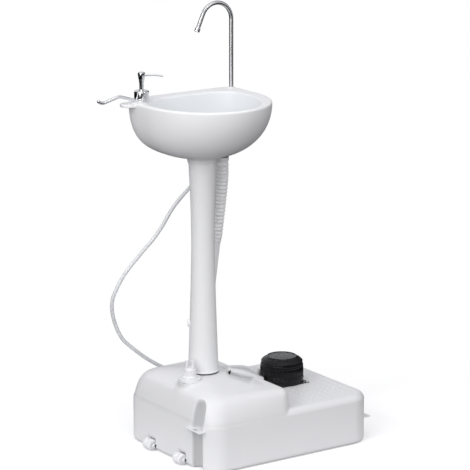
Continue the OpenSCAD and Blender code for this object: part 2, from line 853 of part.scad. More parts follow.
module pedestal() {
    steps = 16;
    levels = [for (i = [0:steps]) mix(flange_height, pedestal_height, i / steps)];
    spigot_top = pedestal_height + basin_spigot;
    color("gainsboro") translate([pedestal_x, 0, dome_height]) rotate_extrude() polygon(concat(
        [
            [spigot_radius, -socket_depth], [spigot_radius, -flange_seat], [flange_radius, -flange_seat],
            [flange_radius, flange_height - 1.5], [flange_radius - 1, flange_height]
        ],
        [for (z = levels) [column_radius(z), z]],
        [
            [spigot_radius, pedestal_height], [spigot_radius, spigot_top],
            [spigot_radius - pedestal_wall, spigot_top], [spigot_radius - pedestal_wall, pedestal_height]
        ],
        [for (i = [steps:-1:0]) [min(column_radius(levels[i]), spigot_radius) - pedestal_wall, levels[i]]],
        [[spigot_radius - pedestal_wall, -socket_depth]]
    ));
}

// ---- basin ----

basin_spigot = 30;                      // depth of the pedestal's spigot in the neck
corner_power = [5.5, 9];                // squareness of the basin's left and right back corners
floor_z = rim_z - bowl_depth;
bowl_center = [12, -24];                // middle of the bowl's opening, from the pedestal's axis
bowl_half_width = basin_half_width - 29;
bowl_front = basin_front + bowl_center[1] - 15;
bowl_back = basin_back - bowl_center[1] - 15;
bowl_power = [2.4, 2.8];                // rounder, which leaves a deck in each back corner
bowl_floor_radius = 19;
lip = 4;                                // rounding of the rim
drain = [drain_right, drain_back];
drain_x = pedestal_x + drain_right;
boss_radius = 19;
boss_z = seam_z + 1;
tap = [pedestal_x + tap_right, tap_back];
bush_radius = 8;
tunnel_radius = bush_radius + 3.5;
bush_flange_radius = bush_radius + 1.5;
tunnel_z = rim_z - 76;
soap = [pedestal_x - soap_left, soap_back];
sleeve_radius = 9;
deck_plate = 3;                         // thickness of the corner decks

// Point of a D outline: half an ellipse in front, a squared half at the back
function d_point(u, a, front, back, power) =
    let (c = cos(u), s = sin(u), e = s < 0 ? 1 : 2 / (c < 0 ? power[0] : power[1]))
    [
        a * sign(c) * pow(abs(c), e), (s < 0 ? front : back) * sign(s) * pow(abs(s), e)
    ];
function basin_ring(g, z, w) = [
    for (i = [0:basin_sides - 1])
        let (
            u = 360 * i / basin_sides,
            d = d_point(u, basin_half_width - w, basin_front - w, basin_back - w, corner_power),
            p = mix((neck_radius - w) * [cos(u), sin(u)], d, g)
        )
        [pedestal_x + p[0], p[1], z]
];
function bowl_ring(g, z, w) = [
    for (i = [0:basin_sides - 1])
        let (
            u = 360 * i / basin_sides,
            d = d_point(u, bowl_half_width + w, bowl_front + w, bowl_back + w, bowl_power),
            p = mix(drain + (bowl_floor_radius + w) * [cos(u), sin(u)], bowl_center + d, g)
        )
        [pedestal_x + p[0], p[1], z]
];

// Share of the full outline, and height above the neck, down the outside of the bowl
belly = [[1, basin_height - lip], [1, basin_height - 66], [0.66, 32], [0.1, 15]];
throat = [[0.1, 15], [0.04, 12.4], [0, 9], [0, 3]];
inside = [[1, -lip], [0.99, 10 - bowl_depth * 0.75], [0.86, 7 - bowl_depth], [0.12, -bowl_depth]];

function belly_rings(w) = [
    for (i = [7:-1:0]) let (p = bezier(belly, i / 7)) basin_ring(p[0], seam_z + p[1], w)
];

module basin_outside() {
    skin(concat(
        [basin_ring(0, seam_z, 0)],
        [for (i = [4:-1:1]) let (p = bezier(throat, i / 4)) basin_ring(p[0], seam_z + p[1], 0)],
        belly_rings(0),
        [basin_ring(1, rim_z - 1.2, 1.2), basin_ring(1, rim_z, lip)]
    ));
}

module bowl_inside(w, top) {
    skin(concat(
        [bowl_ring(0, floor_z - w, w)],
        [for (i = [6:-1:0]) let (p = bezier(inside, i / 6)) bowl_ring(p[0], rim_z + p[1] - w, w)],
        w > 0 ? [bowl_ring(1, rim_z + top, w)]
              : [bowl_ring(1, rim_z - 1.2, 1.2), bowl_ring(1, rim_z, lip), bowl_ring(1, rim_z + top, lip)]
    ));
}

module basin_cavity() {
    difference() {
        skin(concat(belly_rings(basin_wall), [basin_ring(1, rim_z - deck_plate, basin_wall)]));
        bowl_inside(basin_wall, past);
    }
}

module basin_shell() {
    color("gainsboro") difference() {
        union() {
            difference() {
                basin_outside();
                difference() {
                    basin_cavity();
                    translate([tap[0], tap[1], tunnel_z]) cylinder(r = tunnel_radius, h = basin_height);
                    translate([drain_x, drain_back, boss_z]) cylinder(r = boss_radius, h = basin_height);
                    translate([pedestal_x, 0, seam_z])
                        cylinder(r = neck_radius, h = basin_spigot + deck_plate);
                }
            }
            translate([tap[0], tap[1], tunnel_z]) cylinder(r = tunnel_radius, h = 40);
            translate([drain_x, drain_back, boss_z]) cylinder(r = boss_radius, h = floor_z - boss_z);
            translate([pedestal_x - ledge_left, soap_back, rim_z - 2 - ledge_thickness])
                cylinder(r = ledge_radius, h = ledge_thickness);
            translate([pedestal_x - ledge_left, soap_back - ledge_radius, rim_z - 2 - ledge_thickness])
                cube([ledge_left - basin_half_width + 6, 2 * ledge_radius, ledge_thickness]);
        }
        bowl_inside(0, past);
        translate([pedestal_x, 0, seam_z - past])
            cylinder(r = socket_radius, h = basin_spigot + slack + past);
        translate([drain_x, drain_back, boss_z - past]) cylinder(r = drain_radius + seat_fit, h = 60);
        translate([drain_x, drain_back, floor_z - 1.5]) cylinder(r = boss_radius + slack, h = 30);
        translate([tap[0], tap[1], tunnel_z - past]) cylinder(r = bush_radius + seat_fit, h = 80);
        translate([soap[0], soap[1], rim_z - 2 * deck_plate]) cylinder(r = sleeve_radius + slack, h = 20);
    }
}

// ---- tap ----

bush_flange = 1.5;
bush_top = rim_z + bush_flange;
bush_bottom = tunnel_z - 16;
spout_foot = tunnel_z - 8;
nut_height = 8;
seal_z = rim_z - 12;
seal_height = 2;
seal_radius = 6.4;
barb_flange = 6;

module at_tap(z) {
    translate([tap[0], tap[1], z]) children();
}

module tap_bush() {
    color("white") difference() {
        union() {
            at_tap(bush_bottom) cylinder(r = bush_radius, h = bush_top - bush_bottom);
            at_tap(rim_z) cylinder(r = bush_flange_radius, h = bush_flange);
        }
        at_tap(spout_foot) cylinder(r = tap_radius + run_fit, h = bush_top - spout_foot + past);
        at_tap(bush_bottom - past) cylinder(r = tap_radius - tap_wall, h = 20);
        at_tap(seal_z) cylinder(r = seal_radius, h = seal_height);
    }
}

module tap_nut() {
    color("white") at_tap(tunnel_z - nut_height) difference() {
        hexagon(12, nut_height);
        translate([0, 0, -past]) cylinder(r = bush_radius + seat_fit, h = nut_height + 2 * past);
    }
}

module tap_barb() {
    color("lightgray") {
        at_tap(bush_bottom - barb_flange) cylinder(r = bush_radius, h = barb_flange);
        at_tap(supply_end[2]) cylinder(r = supply_radius, h = bush_bottom - barb_flange - supply_end[2]);
    }
}

module tap_seal() {
    color("dimgray") at_tap(seal_z + run_fit)
        pipe(seal_radius - run_fit, tap_radius + run_fit, seal_height - 2 * run_fit);
}

// The gooseneck's centre line filled to a radius: a straight, a bend to the left and a leg
module gooseneck(radius, foot, leg) {
    thinned = 0.02;
    bend_z = rim_z + tap_rise;
    end_x = tap_bend * (1 - cos(tap_turn));
    end_z = tap_bend * sin(tap_turn);
    at_tap(foot) cylinder(r = radius, h = bend_z - foot);
    at_tap(bend_z) translate([-tap_bend, 0, 0]) rotate([90, 0, 0]) rotate_extrude(angle = tap_turn)
        translate([tap_bend, 0]) circle(r = radius - thinned);
    at_tap(bend_z) translate([-end_x, 0, end_z]) rotate([0, -tap_turn, 0])
        cylinder(r = radius, h = leg);
}

module tap_spout() {
    color("silver") difference() {
        gooseneck(tap_radius, spout_foot + run_fit, tap_leg);
        gooseneck(tap_radius - tap_wall, spout_foot - 5, tap_leg + past);
    }
}

module tap_aerator() {
    length = 9;
    splay = 180 - tap_turn;
    end_x = tap_bend * (1 - cos(tap_turn)) + tap_leg * sin(splay);
    end_z = tap_bend * sin(tap_turn) - tap_leg * cos(splay);
    color("silver") at_tap(rim_z + tap_rise) translate([-end_x, 0, end_z]) rotate([0, -tap_turn, 0])
        pipe(aerator_radius, tap_radius - tap_wall, length);
}

// ---- drain ----

strainer_flange = 1.5;
drain_gasket_thickness = 1.5;
drain_nut_height = 8.5;
nut_bottom = boss_z - drain_gasket_thickness - drain_nut_height;
hose_bore = 12.2;
tail_radius = 13.6;
cuff_radius = 12.2;
cuff_plug = 14;
cuff_plug_radius = 11;
cuff_length = 124;
ribs = 20;
drain_sides = 8;
drain_top = [drain_x, drain_back, nut_bottom];
drain_route = [
    drain_top, drain_top - [0, 0, 13], drain_top - [0, 0, 30], drain_top + [-1.5, 0.4, -52],
    drain_top + [-5, 1.4, -86], drain_top + [-9.5, 2.6, -126], drain_top + [-13.5, 3.6, -160],
    drain_top + [-16, 4.2, -181]
];
drain_end = drain_route[len(drain_route) - 1];
drain_way = unit(drain_end - drain_route[len(drain_route) - 2]);

module drain_strainer() {
    holes = 6;
    color("silver") translate([drain_x, drain_back, floor_z - strainer_flange]) difference() {
        union() {
            cylinder(r = boss_radius, h = strainer_flange);
            translate([0, 0, nut_bottom - tail_length + drain_gasket_thickness - floor_z + strainer_flange])
                cylinder(r = drain_radius, h = floor_z - strainer_flange - nut_bottom + tail_length);
        }
        translate([0, 0, -80]) cylinder(r = drain_radius - 2, h = 80 - 1);
        translate([0, 0, -2]) cylinder(r = 1.6, h = 6);
        for (i = [0:holes - 1]) rotate(360 * i / holes) translate([5.4, 0, -2]) cylinder(r = 1.6, h = 6);
    }
}

module drain_gasket() {
    color("dimgray") translate([drain_x, drain_back, boss_z - drain_gasket_thickness])
        pipe(drain_hose_radius, drain_radius + seat_fit, drain_gasket_thickness);
}

module drain_nut() {
    color("white") translate([drain_x, drain_back, nut_bottom])
        pipe(drain_hose_radius + 0.3, drain_radius + seat_fit, drain_nut_height);
}

// Ribbed for its upper stretch, smooth below, with its bore all the way
module drain_hose() {
    q = smooth_route(drain_route, 6);
    s = travelled(q);
    total = s[len(s) - 1];
    plain = 5;
    rib_stops = [for (i = [0:ribs - 1], k = [0, 0.5]) plain + rib_pitch * (i + k)];
    ribbed_end = plain + rib_pitch * ribs;
    stops = concat([0], rib_stops, [mix(ribbed_end, total, 0.4), total]);
    outer_radii = [
        for (i = [0:len(stops) - 1])
            i > 0 && i <= 2 * ribs && i % 2 == 0 ? drain_hose_radius : tail_radius
    ];
    bore_stops = [for (i = [0:16]) total * (1 - i / 16)];
    outer = tube_rings([for (d = stops) at_distance(q, s, d)], outer_radii, drain_sides, [1, 0, 0]);
    inner_forward = tube_rings(
        [for (i = [16:-1:0]) at_distance(q, s, bore_stops[i])], [for (i = [0:16]) hose_bore],
            drain_sides, [1, 0, 0]
    );
    inner = [for (i = [16:-1:0]) inner_forward[i]];
    echo(drain_length = total, rib_gap = rib_pitch / 2);
    color("white") skin(concat(outer, inner), looped = true);
}

module drain_cuff() {
    flange = 2;
    color("white") along(drain_end, drain_end + drain_way) difference() {
        union() {
            translate([0, 0, -cuff_plug]) cylinder(r = cuff_plug_radius, h = cuff_plug + flange);
            translate([0, 0, seat_fit]) cylinder(r = tail_radius, h = flange);
            translate([0, 0, seat_fit]) cylinder(r = cuff_radius, h = cuff_length - seat_fit);
        }
        translate([0, 0, -cuff_plug - past])
            cylinder(r = cuff_plug_radius - 1.6, h = cuff_length + cuff_plug + 2 * past);
    }
}

// ---- soap pump ----

arm_eye_thickness = 2.5;
collar_z = rim_z + arm_eye_thickness;
collar_top = collar_z + collar_height;
head_neck_radius = 4.8;
stem_radius = 3.2;
barrel_radius = 5.5;
piston_radius = 4;
sleeve_bottom = rim_z - 17;
head_bottom = collar_top - 1.5;
head_socket = head_bottom - soap_travel - 1.5;
head_top = collar_top + head_height;
bottle_top = rim_z - deck_plate - slack;
bottle_shoulder = sleeve_bottom - 3;
bottle_bottom = rim_z - 46;
barrel_top = collar_top - 20;
barrel_bottom = rim_z - 38;
piston_z = barrel_bottom + 26;
soap_curls = 7;
nozzle_z = head_top - 7;
nozzle_way = -34;                       // heading of the nozzle, from +X

module at_soap(z) {
    translate([soap[0], soap[1], z]) children();
}

module soap_collar() {
    color("silver") difference() {
        union() {
            at_soap(collar_z) rotate_extrude() polygon([
                [0, 0], [collar_radius, 0], [collar_radius, collar_height - 1.5],
                [collar_radius - 1.5, collar_height], [0, collar_height]
            ]);
            at_soap(sleeve_bottom) cylinder(r = sleeve_radius, h = collar_z - sleeve_bottom);
        }
        at_soap(head_socket) cylinder(r = head_neck_radius + run_fit, h = 60);
        at_soap(sleeve_bottom - past)
            cylinder(r = barrel_radius + run_fit, h = barrel_top - sleeve_bottom + past);
        at_soap(barrel_top - past) cylinder(r = stem_radius + run_fit, h = 40);
    }
}

module soap_head() {
    droop = 10;
    tube = 2.3;
    straight = nozzle_length * 0.68;
    tip = nozzle_length - straight;
    color("silver") difference() {
        union() {
            at_soap(head_bottom) rotate_extrude() polygon([
                [0, 0], [head_neck_radius, 0], [head_neck_radius, 17],
                [head_radius, head_top - head_bottom - 4], [head_radius, head_top - head_bottom - 1],
                [head_radius - 1.5, head_top - head_bottom], [0, head_top - head_bottom]
            ]);
            at_soap(nozzle_z) rotate(nozzle_way) rotate([0, 90, 0]) cylinder(r = tube, h = straight);
            at_soap(nozzle_z) rotate(nozzle_way) translate([straight, 0, 0]) {
                sphere(r = tube + 0.1);
                rotate([0, 90 + droop, 0]) cylinder(r = tube, h = tip);
            }
        }
        at_soap(head_bottom - past) cylinder(r = stem_radius + run_fit, h = 24);
    }
}

module soap_stem() {
    color("silver") {
        at_soap(piston_z) cylinder(r = stem_radius, h = head_bottom + 22 - piston_z);
        at_soap(piston_z) cylinder(r = piston_radius, h = 3);
    }
}

module soap_barrel() {
    bore = piston_radius + run_fit;
    color("white") difference() {
        at_soap(barrel_bottom) cylinder(r = barrel_radius, h = barrel_top - slack - barrel_bottom);
        at_soap(barrel_bottom + 2) cylinder(r = bore, h = barrel_top - barrel_bottom);
        at_soap(barrel_bottom - past) cylinder(r = 1.2, h = 10);
    }
}

module soap_spring() {
    color("silver")
        coil(2.9, 0.5, barrel_bottom + 2 + slack, piston_z - slack, soap_curls, soap[0], soap[1]);
}

module soap_bottle() {
    wall = 1.5;
    color("whitesmoke") at_soap(0) rotate_extrude() polygon([
        [0, bottle_bottom], [bottle_radius - 2, bottle_bottom], [bottle_radius, bottle_bottom + 2],
        [bottle_radius, bottle_shoulder - 3], [sleeve_radius + seat_fit + wall, bottle_shoulder],
        [sleeve_radius + seat_fit + wall, bottle_top], [sleeve_radius + seat_fit, bottle_top],
        [sleeve_radius + seat_fit, bottle_shoulder - 2], [bottle_radius - wall, bottle_shoulder - 5],
        [bottle_radius - wall, bottle_bottom + wall], [0, bottle_bottom + wall]
    ]);
}

module soap_dip_tube() {
    color("white") at_soap(bottle_bottom + 2.5)
        pipe(2, 1.2, barrel_bottom - bottle_bottom - 2.5);
}

// ---- towel hook ----

module rod_through(points, radius) {
    for (i = [0:len(points) - 2]) {
        along(points[i], points[i + 1]) cylinder(r = radius, h = norm(points[i + 1] - points[i]));
        if (i > 0) translate(points[i]) sphere(r = radius);
    }
}

module towel_arm() {
    eye_radius = collar_radius - 1;
    tip = [-11, 0, 8];
    foot = [-eye_radius + 2, 0, hook_rod_radius];
    knee = [-hook_knee, 0, hook_rise];
    heel = [-hook_reach, 0, hook_heel];
    color("silver") at_soap(rim_z) {
        pipe(eye_radius, sleeve_radius + seat_fit, arm_eye_thickness);
        difference() {
            rod_through([foot + [-5.5, 0, 0.4], knee, heel, heel + tip], hook_rod_radius);
            translate([-30, -30, -30]) cube([60, 60, 30]);
        }
        translate([-collar_radius - 4, -hook_rod_radius, 0])
            cube([6, 2 * hook_rod_radius, arm_eye_thickness]);
    }
}

tank_shell();
filler_gasket();
filler_ring();
filler_stopper();
wheel_back();
wheel_front();
wheel_pins();
pump_base();
pump_bellows();
pump_cap();
pump_spring();
pump_valves();
pump_screws();
pump_feed_hose();
hose_grommet();
pickup_tube();
pickup_strainer();
pump_outlet_elbow();
supply_hose();
pedestal();
basin_shell();
tap_bush();
tap_nut();
tap_barb();
tap_seal();
tap_spout();
tap_aerator();
drain_strainer();
drain_gasket();
drain_nut();
drain_hose();
drain_cuff();
soap_collar();
soap_head();
soap_stem();
soap_barrel();
soap_spring();
soap_bottle();
soap_dip_tube();
towel_arm();
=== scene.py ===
"""Looks of the camp wash stand: every visible piece is worked out here as a surface, in
millimetres in the shared frame, and rides on the CAD body that it belongs to."""

import json
import math

import bmesh
import bpy
import numpy as np
from mathutils import Matrix, Vector


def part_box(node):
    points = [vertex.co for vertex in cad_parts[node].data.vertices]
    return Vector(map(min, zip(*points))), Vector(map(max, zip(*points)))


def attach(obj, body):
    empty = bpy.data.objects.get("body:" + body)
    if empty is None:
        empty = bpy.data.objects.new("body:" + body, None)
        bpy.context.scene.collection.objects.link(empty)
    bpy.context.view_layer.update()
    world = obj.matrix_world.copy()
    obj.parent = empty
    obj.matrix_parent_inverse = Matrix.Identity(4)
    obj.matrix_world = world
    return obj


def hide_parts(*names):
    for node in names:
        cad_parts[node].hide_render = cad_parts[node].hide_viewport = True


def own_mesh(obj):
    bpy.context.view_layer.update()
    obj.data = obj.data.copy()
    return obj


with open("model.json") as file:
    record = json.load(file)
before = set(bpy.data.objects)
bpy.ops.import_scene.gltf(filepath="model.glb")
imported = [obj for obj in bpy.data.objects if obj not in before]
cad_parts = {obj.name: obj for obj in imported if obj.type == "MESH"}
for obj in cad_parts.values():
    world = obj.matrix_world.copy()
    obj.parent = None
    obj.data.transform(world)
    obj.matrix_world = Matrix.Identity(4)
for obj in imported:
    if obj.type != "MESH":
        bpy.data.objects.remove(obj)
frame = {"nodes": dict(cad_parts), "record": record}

bl_info = {
    "name": "Camp wash stand",
    "version": (1, 0, 0),
    "blender": (4, 5, 0),
    "location": "3D View > Sidebar > Wash stand",
    "description": "Builds the visible pieces of the camp wash stand, its finishes and its studio",
    "category": "Add Mesh",
}

MM = 0.001

# ---- sizes that several pieces share, in millimetres ----

HALF_LENGTH, HALF_DEPTH = 225.0, 175.0
TANK_CORNER = 50.0
DECK_Z, DECK_ROUND, FOOT_ROUND = 115.0, 16.0, 10.0
DOME_LEFT, DOME_RIGHT, DOME_BASE = -223.0, 4.0, 90.0
DOME_SHOULDER = (173.0, 165.0)
DOME_TOP = 184.0
DOME_STEP = 2.0
DOME_ROUND_LEFT, DOME_ROUND_RIGHT = 27.0, 8.0
DOME_ROUND_SIDE = (58.0, 13.0)
DOME_CORNERS = (48.0, 30.0)
SHOULDER_SINE = math.sin(math.radians(72.0))
CROWN_SQUARENESS = 5.0
PEDESTAL_X = -125.0
CHANNEL_X, CHANNEL_Y, CHANNEL_RADIUS = 223.5, -121.0, 20.5
CHANNEL_TOPS = (147.0, 78.0)
TAB_X, TAB_REACH = 232.0, 31.0
WHEEL_X, WHEEL_Y, WHEEL_Z, WHEEL_WIDTH = -230.0, 62.0, 12.7, 26.0
POCKET_RADIUS, POCKET_HALF = 15.0, 15.0
FILLER = (-181.0, -30.0)
FILLER_PAD, FILLER_PAD_RADIUS, RING_Z, NECK_TOP = 176.0, 26.0, 177.2, 186.0
PUMP = (108.0, 21.0)
PUMP_PLATE = 96.0
PLATE_Z, PLATE_TOP, RING_TOP, BELLOWS_TOP, CAP_TOP = 112.5, 115.5, 130.5, 156.5, 177.5
FEED_TANK = np.array([-46.0, 18.0, 163.0])
FEED_PUMP = np.array([57.5, 21.0, 125.3])
FEED_WAY = (FEED_PUMP - FEED_TANK) / np.linalg.norm(FEED_PUMP - FEED_TANK)
FEED_RADIUS, FEED_ARCH = 6.5, 5.0
GROOVE_RADIUS, GROOVE_LENGTH = 8.0, 90.0
VALLEY_Z, VALLEY_FALL, VALLEY_CLIMB = 149.0, 0.4, 34.0
# plan direction that runs across the photograph's view, from left to right
ACROSS = (0.825, -0.565)
SCOOP_APEX = np.array([-46.0, 18.0, 154.0])
SCOOP_TILT, SCOOP_SPREAD, SCOOP_DEPTH = 44.5, 62.0, 55.0
# radius of the pedestal's waist, and heights over the dome
WAIST, WAIST_Z, COLUMN_TOP = 26.2, 294.0, 483.0
SEAM_Z, RIM_Z = 667.0, 808.0
FLOOR_Z = 716.0
BASIN = {"half": 148.5, "front": 165.0, "back": 106.0, "power": (5.5, 9.0)}
BOWL = {"half": 123.0, "front": 140.0, "back": 80.0, "power": (3.0, 4.2), "middle": (-8.0, -12.0)}
LEFT_FULLNESS = 0.62
DRAIN = (-57.0, 24.0)
BOSS_RADIUS = 19.0
TAP = (9.0, 84.0)
TAP_RADIUS, TAP_RISE, TAP_BEND, TAP_TURN, TAP_LEG = 4.75, 157.0, 40.0, 156.0, 32.0
SOAP = (-246.0, 60.0)
COLLAR_Z, COLLAR_RADIUS, COLLAR_TOP = 810.5, 16.5, 832.0
HEAD_TOP, SOAP_STROKE = 873.0, 12
SUPPLY_ROUTE = [
    [67, 84, 133], [67, 104, 133], [62, 130, 130], [48, 155, 125], [24, 176, 121], [-8, 189, 117],
    [-42, 194, 118], [-82, 192, 129], [-123, 186, 150], [-167, 175, 178], [-207, 165, 209],
    [-240, 159, 239], [-262, 153, 276], [-275, 147, 315], [-275, 140, 350], [-253, 130, 398],
    [-215, 120, 444], [-188, 114, 472], [-164, 108, 504], [-139, 101, 545], [-105, 92, 584],
    [-75, 90, 605], [-45, 89, 618], [-15, 87, 638], [4, 85, 662], [9, 84, 684], [9, 84, 702],
]
SUPPLY_RADIUS = 4.3
DRAIN_ROUTE = [
    [-57, 24, 658], [-57, 24, 645], [-57, 24, 628], [-58.5, 24.4, 606], [-62, 25.4, 572],
    [-66.5, 26.6, 532], [-70.5, 27.6, 498], [-73, 28.2, 477],
]
DRAIN_RIBS, RIB_PITCH, RIB_RADIUS, RIB_ROOT = 20, 8.7, 15.2, 13.6
CUFF_LENGTH = 124.0

# ---- numpy helpers ----


def mix(a, b, t):
    """a at 0, b at 1 and a straight run between: a + (b - a) t."""
    return a + (b - a) * t


def smooth(x, low, high):
    """Smooth step from 0 at low to 1 at high."""
    t = np.clip((x - low) / (high - low), 0, 1)
    return t * t * (3 - 2 * t)


def circle(count):
    """Angles of that many even steps once round."""
    return np.linspace(0, 2 * math.pi, count, endpoint=False)


def spaced(*spans):
    """Sorted values made of evenly spaced stretches (start, end, step)."""
    parts = [np.linspace(a, b, max(2, int(round(abs(b - a) / step)) + 1)) for a, b, step in spans]
    return np.unique(np.round(np.concatenate(parts), 4))


def grid_faces(rows, columns, round_columns=True, round_rows=False):
    """Quads of a grid of points, joined at its ends where the surface closes on itself."""
    r = np.arange(rows if round_rows else rows - 1)[:, None]
    c = np.arange(columns if round_columns else columns - 1)[None, :]
    up, over = ((r + 1) % rows) * columns, (c + 1) % columns
    low = r * columns
    return np.stack([low + c, low + over, up + over, up + c], -1).reshape(-1, 4)


def sheet_of(points, round_columns=True, round_rows=False, ends=False):
    """A part from a grid of points (rows, columns, 3), with flat caps on both ends if asked."""
    rows, columns = points.shape[:2]
    faces = grid_faces(rows, columns, round_columns, round_rows).tolist()
    if ends:
        faces.append(list(range(columns))[::-1])
        faces.append(list(range((rows - 1) * columns, rows * columns)))
    return points.reshape(-1, 3), faces


def weld(points, faces):
    """Joins points that fall together. Faces lose the corners that they hold twice."""
    _, first, back = np.unique(np.round(points, 3), axis=0, return_index=True, return_inverse=True)
    back = back.reshape(-1)
    faces = back[np.asarray(faces)]
    double = faces == np.roll(faces, -1, axis=1)
    whole = faces[~double.any(1)].tolist()
    once = double.sum(1) == 1
    cut = [list(dict.fromkeys(f)) for f in faces[once].tolist()]
    return points[first], whole + [f for f in cut if len(f) == 3]


def rounded(corners, steps=5):
    """Profile through corners (radius, z, fillet), each turned over on an arc of its fillet."""
    corners = np.array(corners, float)
    out = []
    for i, (r, z, fillet) in enumerate(corners):
        here = np.array([r, z])
        if fillet <= 0 or i in (0, len(corners) - 1):
            out.append(here[None])
            continue
        a, b = corners[i - 1, :2] - here, corners[i + 1, :2] - here
        la, lb = np.linalg.norm(a), np.linalg.norm(b)
        a, b = a / la, b / lb
        half = 0.5 * math.acos(float(np.clip(a @ b, -1, 1)))
        reach = min(fillet / max(math.tan(half), 1e-6), 0.49 * la, 0.49 * lb)
        t = np.linspace(0, 1, steps + 1)[:, None]
        start, end = here + a * reach, here + b * reach
        out.append((1 - t) ** 2 * start + 2 * t * (1 - t) * here + t**2 * end)
    return np.vstack(out)


def lathe(profile, sides=96, center=(0, 0), closed=False, swell=None):
    """Profile of (radius, z) turned about an upright axis. swell gives a factor of the radius
    from the angle and the height."""
    profile = np.asarray(profile, float)
    angle = circle(sides)[None, :]
    radius, z = profile[:, :1], profile[:, 1:2] + 0 * angle
    radius = radius + 0 * angle
    if swell is not None:
        radius = radius + swell(angle, z, radius)
    points = np.stack(
        [center[0] + radius * np.cos(angle), center[1] + radius * np.sin(angle), z], -1
    )
    points, faces = sheet_of(points, round_rows=closed)
    return weld(points, faces)


def frames(path):
    """Unit tangents of a path and two side directions carried along it without twist."""
    path = np.asarray(path, float)
    tangent = np.gradient(path, axis=0)
    tangent /= np.linalg.norm(tangent, axis=1)[:, None]
    side = np.zeros_like(path)
    first = np.array([0.0, 0, 1]) if abs(tangent[0, 2]) < 0.9 else np.array([1.0, 0, 0])
    for i, t in enumerate(tangent):
        first = first - t * (first @ t)
        first = first / np.linalg.norm(first)
        side[i] = first
    return tangent, side, np.cross(tangent, side)


def tube(path, radius, sides=20, ends=True, swell=None):
    """Circle carried along a path. radius is a number or one for each point; ends are capped."""
    path = np.asarray(path, float)
    _, side, other = frames(path)
    angle = circle(sides)[None, :, None]
    radius = np.broadcast_to(np.asarray(radius, float), (len(path),))[:, None, None]
    if swell is not None:
        radius = radius * swell(angle[..., 0])[..., None]
    points = path[:, None, :] + radius * (
        np.cos(angle) * side[:, None, :] + np.sin(angle) * other[:, None, :]
    )
    return sheet_of(points, ends=ends)


def smooth_route(points, steps):
    """Catmull-Rom curve through points, with a number of steps between two of them."""
    p = np.asarray(points, float)
    before, after = np.vstack([p[:1], p[:-2]]), np.vstack([p[2:], p[-1:]])
    a, b, c, d = before[:, None], p[:-1, None], p[1:, None], after[:, None]
    t = (np.arange(steps) / steps)[None, :, None]
    q = b + 0.5 * t * ((c - a) + t * ((2 * a - 5 * b + 4 * c - d) + t * (3 * b - a - 3 * c + d)))
    return np.vstack([q.reshape(-1, 3), p[-1:]])


def bent_route(corners, fillet, steps=10):
    """Straight stretches through the corners, joined by smooth bends of about that reach."""
    p = np.asarray(corners, float)
    out = [p[:1]]
    t = np.linspace(0, 1, steps + 1)[:, None]
    for a, b, c in zip(p[:-2], p[1:-1], p[2:]):
        ua, uc = (a - b) / np.linalg.norm(a - b), (c - b) / np.linalg.norm(c - b)
        start, end = b + ua * fillet, b + uc * fillet
        out.append((1 - t) ** 2 * start + 2 * t * (1 - t) * b + t**2 * end)
    out.append(p[-1:])
    return even_route(np.vstack(out), 1.2)


def coil_line(x, y, radius, low, high, turns, steps):
    """Centre line of an upright coil spring with a number of points to each turn."""
    angle = np.linspace(0, turns * 2 * math.pi, turns * steps)
    rise = np.linspace(low, high, len(angle))
    return np.stack([x + radius * np.cos(angle), y + radius * np.sin(angle), rise], -1)


def even_route(path, step):
    """The same line with points at even distances."""
    lengths = np.concatenate([[0], np.cumsum(np.linalg.norm(np.diff(path, axis=0), axis=1))])
    at = np.linspace(0, lengths[-1], max(2, int(lengths[-1] / step)) + 1)
    return np.stack([np.interp(at, lengths, path[:, k]) for k in range(3)], -1)


def bezier(points, t):
    """Points of a cubic curve at the shares t."""
    p = np.asarray(points, float)
    t = np.asarray(t, float)[:, None]
    back = 1 - t
    return back**3 * p[0] + 3 * t * back**2 * p[1] + 3 * t * t * back * p[2] + t**3 * p[3]


def turned(part, origin, direction):
    """Part made about the z axis, set at origin and pointing along direction."""
    points, faces = part
    turn = np.array(Vector(direction).to_track_quat("Z", "X").to_matrix())
    return points @ turn.T + np.asarray(origin, float), faces


def moved(part, x, y, z=0.0):
    """Part set off by x, y and z."""
    return part[0] + np.array([x, y, z]), part[1]


def rounded_box(hx, hy, corner, per_corner=6):
    """Outline of a rounded rectangle about the origin, as (n, 2) points."""
    angle = np.linspace(0, math.pi / 2, per_corner + 1)
    quarter = np.stack([np.cos(angle), np.sin(angle)], -1) * corner
    turns = []
    for k, (sx, sy) in enumerate([(1, 1), (-1, 1), (-1, -1), (1, -1)]):
        c, s = math.cos(k * math.pi / 2), math.sin(k * math.pi / 2)
        middle = [sx * (hx - corner), sy * (hy - corner)]
        turns.append(quarter @ np.array([[c, s], [-s, c]]) + middle)
    return np.vstack(turns)


def slab(outline, z0, z1, edge=0.6, steps=3):
    """Plate of that outline from z0 to z1, its two edges rounded by moving rings inwards."""
    outline = np.asarray(outline, float)
    tangent = np.roll(outline, -1, axis=0) - np.roll(outline, 1, axis=0)
    inward = np.stack([-tangent[:, 1], tangent[:, 0]], -1)
    inward /= np.maximum(np.linalg.norm(inward, axis=1), 1e-9)[:, None]
    angle = np.linspace(0, math.pi / 2, steps + 1)
    low = [(edge * (1 - math.sin(a)), z0 + edge * (1 - math.cos(a))) for a in angle]
    high = [(edge * (1 - math.cos(a)), z1 - edge + edge * math.sin(a)) for a in angle]
    rings = [
        np.concatenate([outline + inward * inset, np.full((len(outline), 1), z)], 1)
        for inset, z in low + high
    ]
    return sheet_of(np.stack(rings), ends=True)


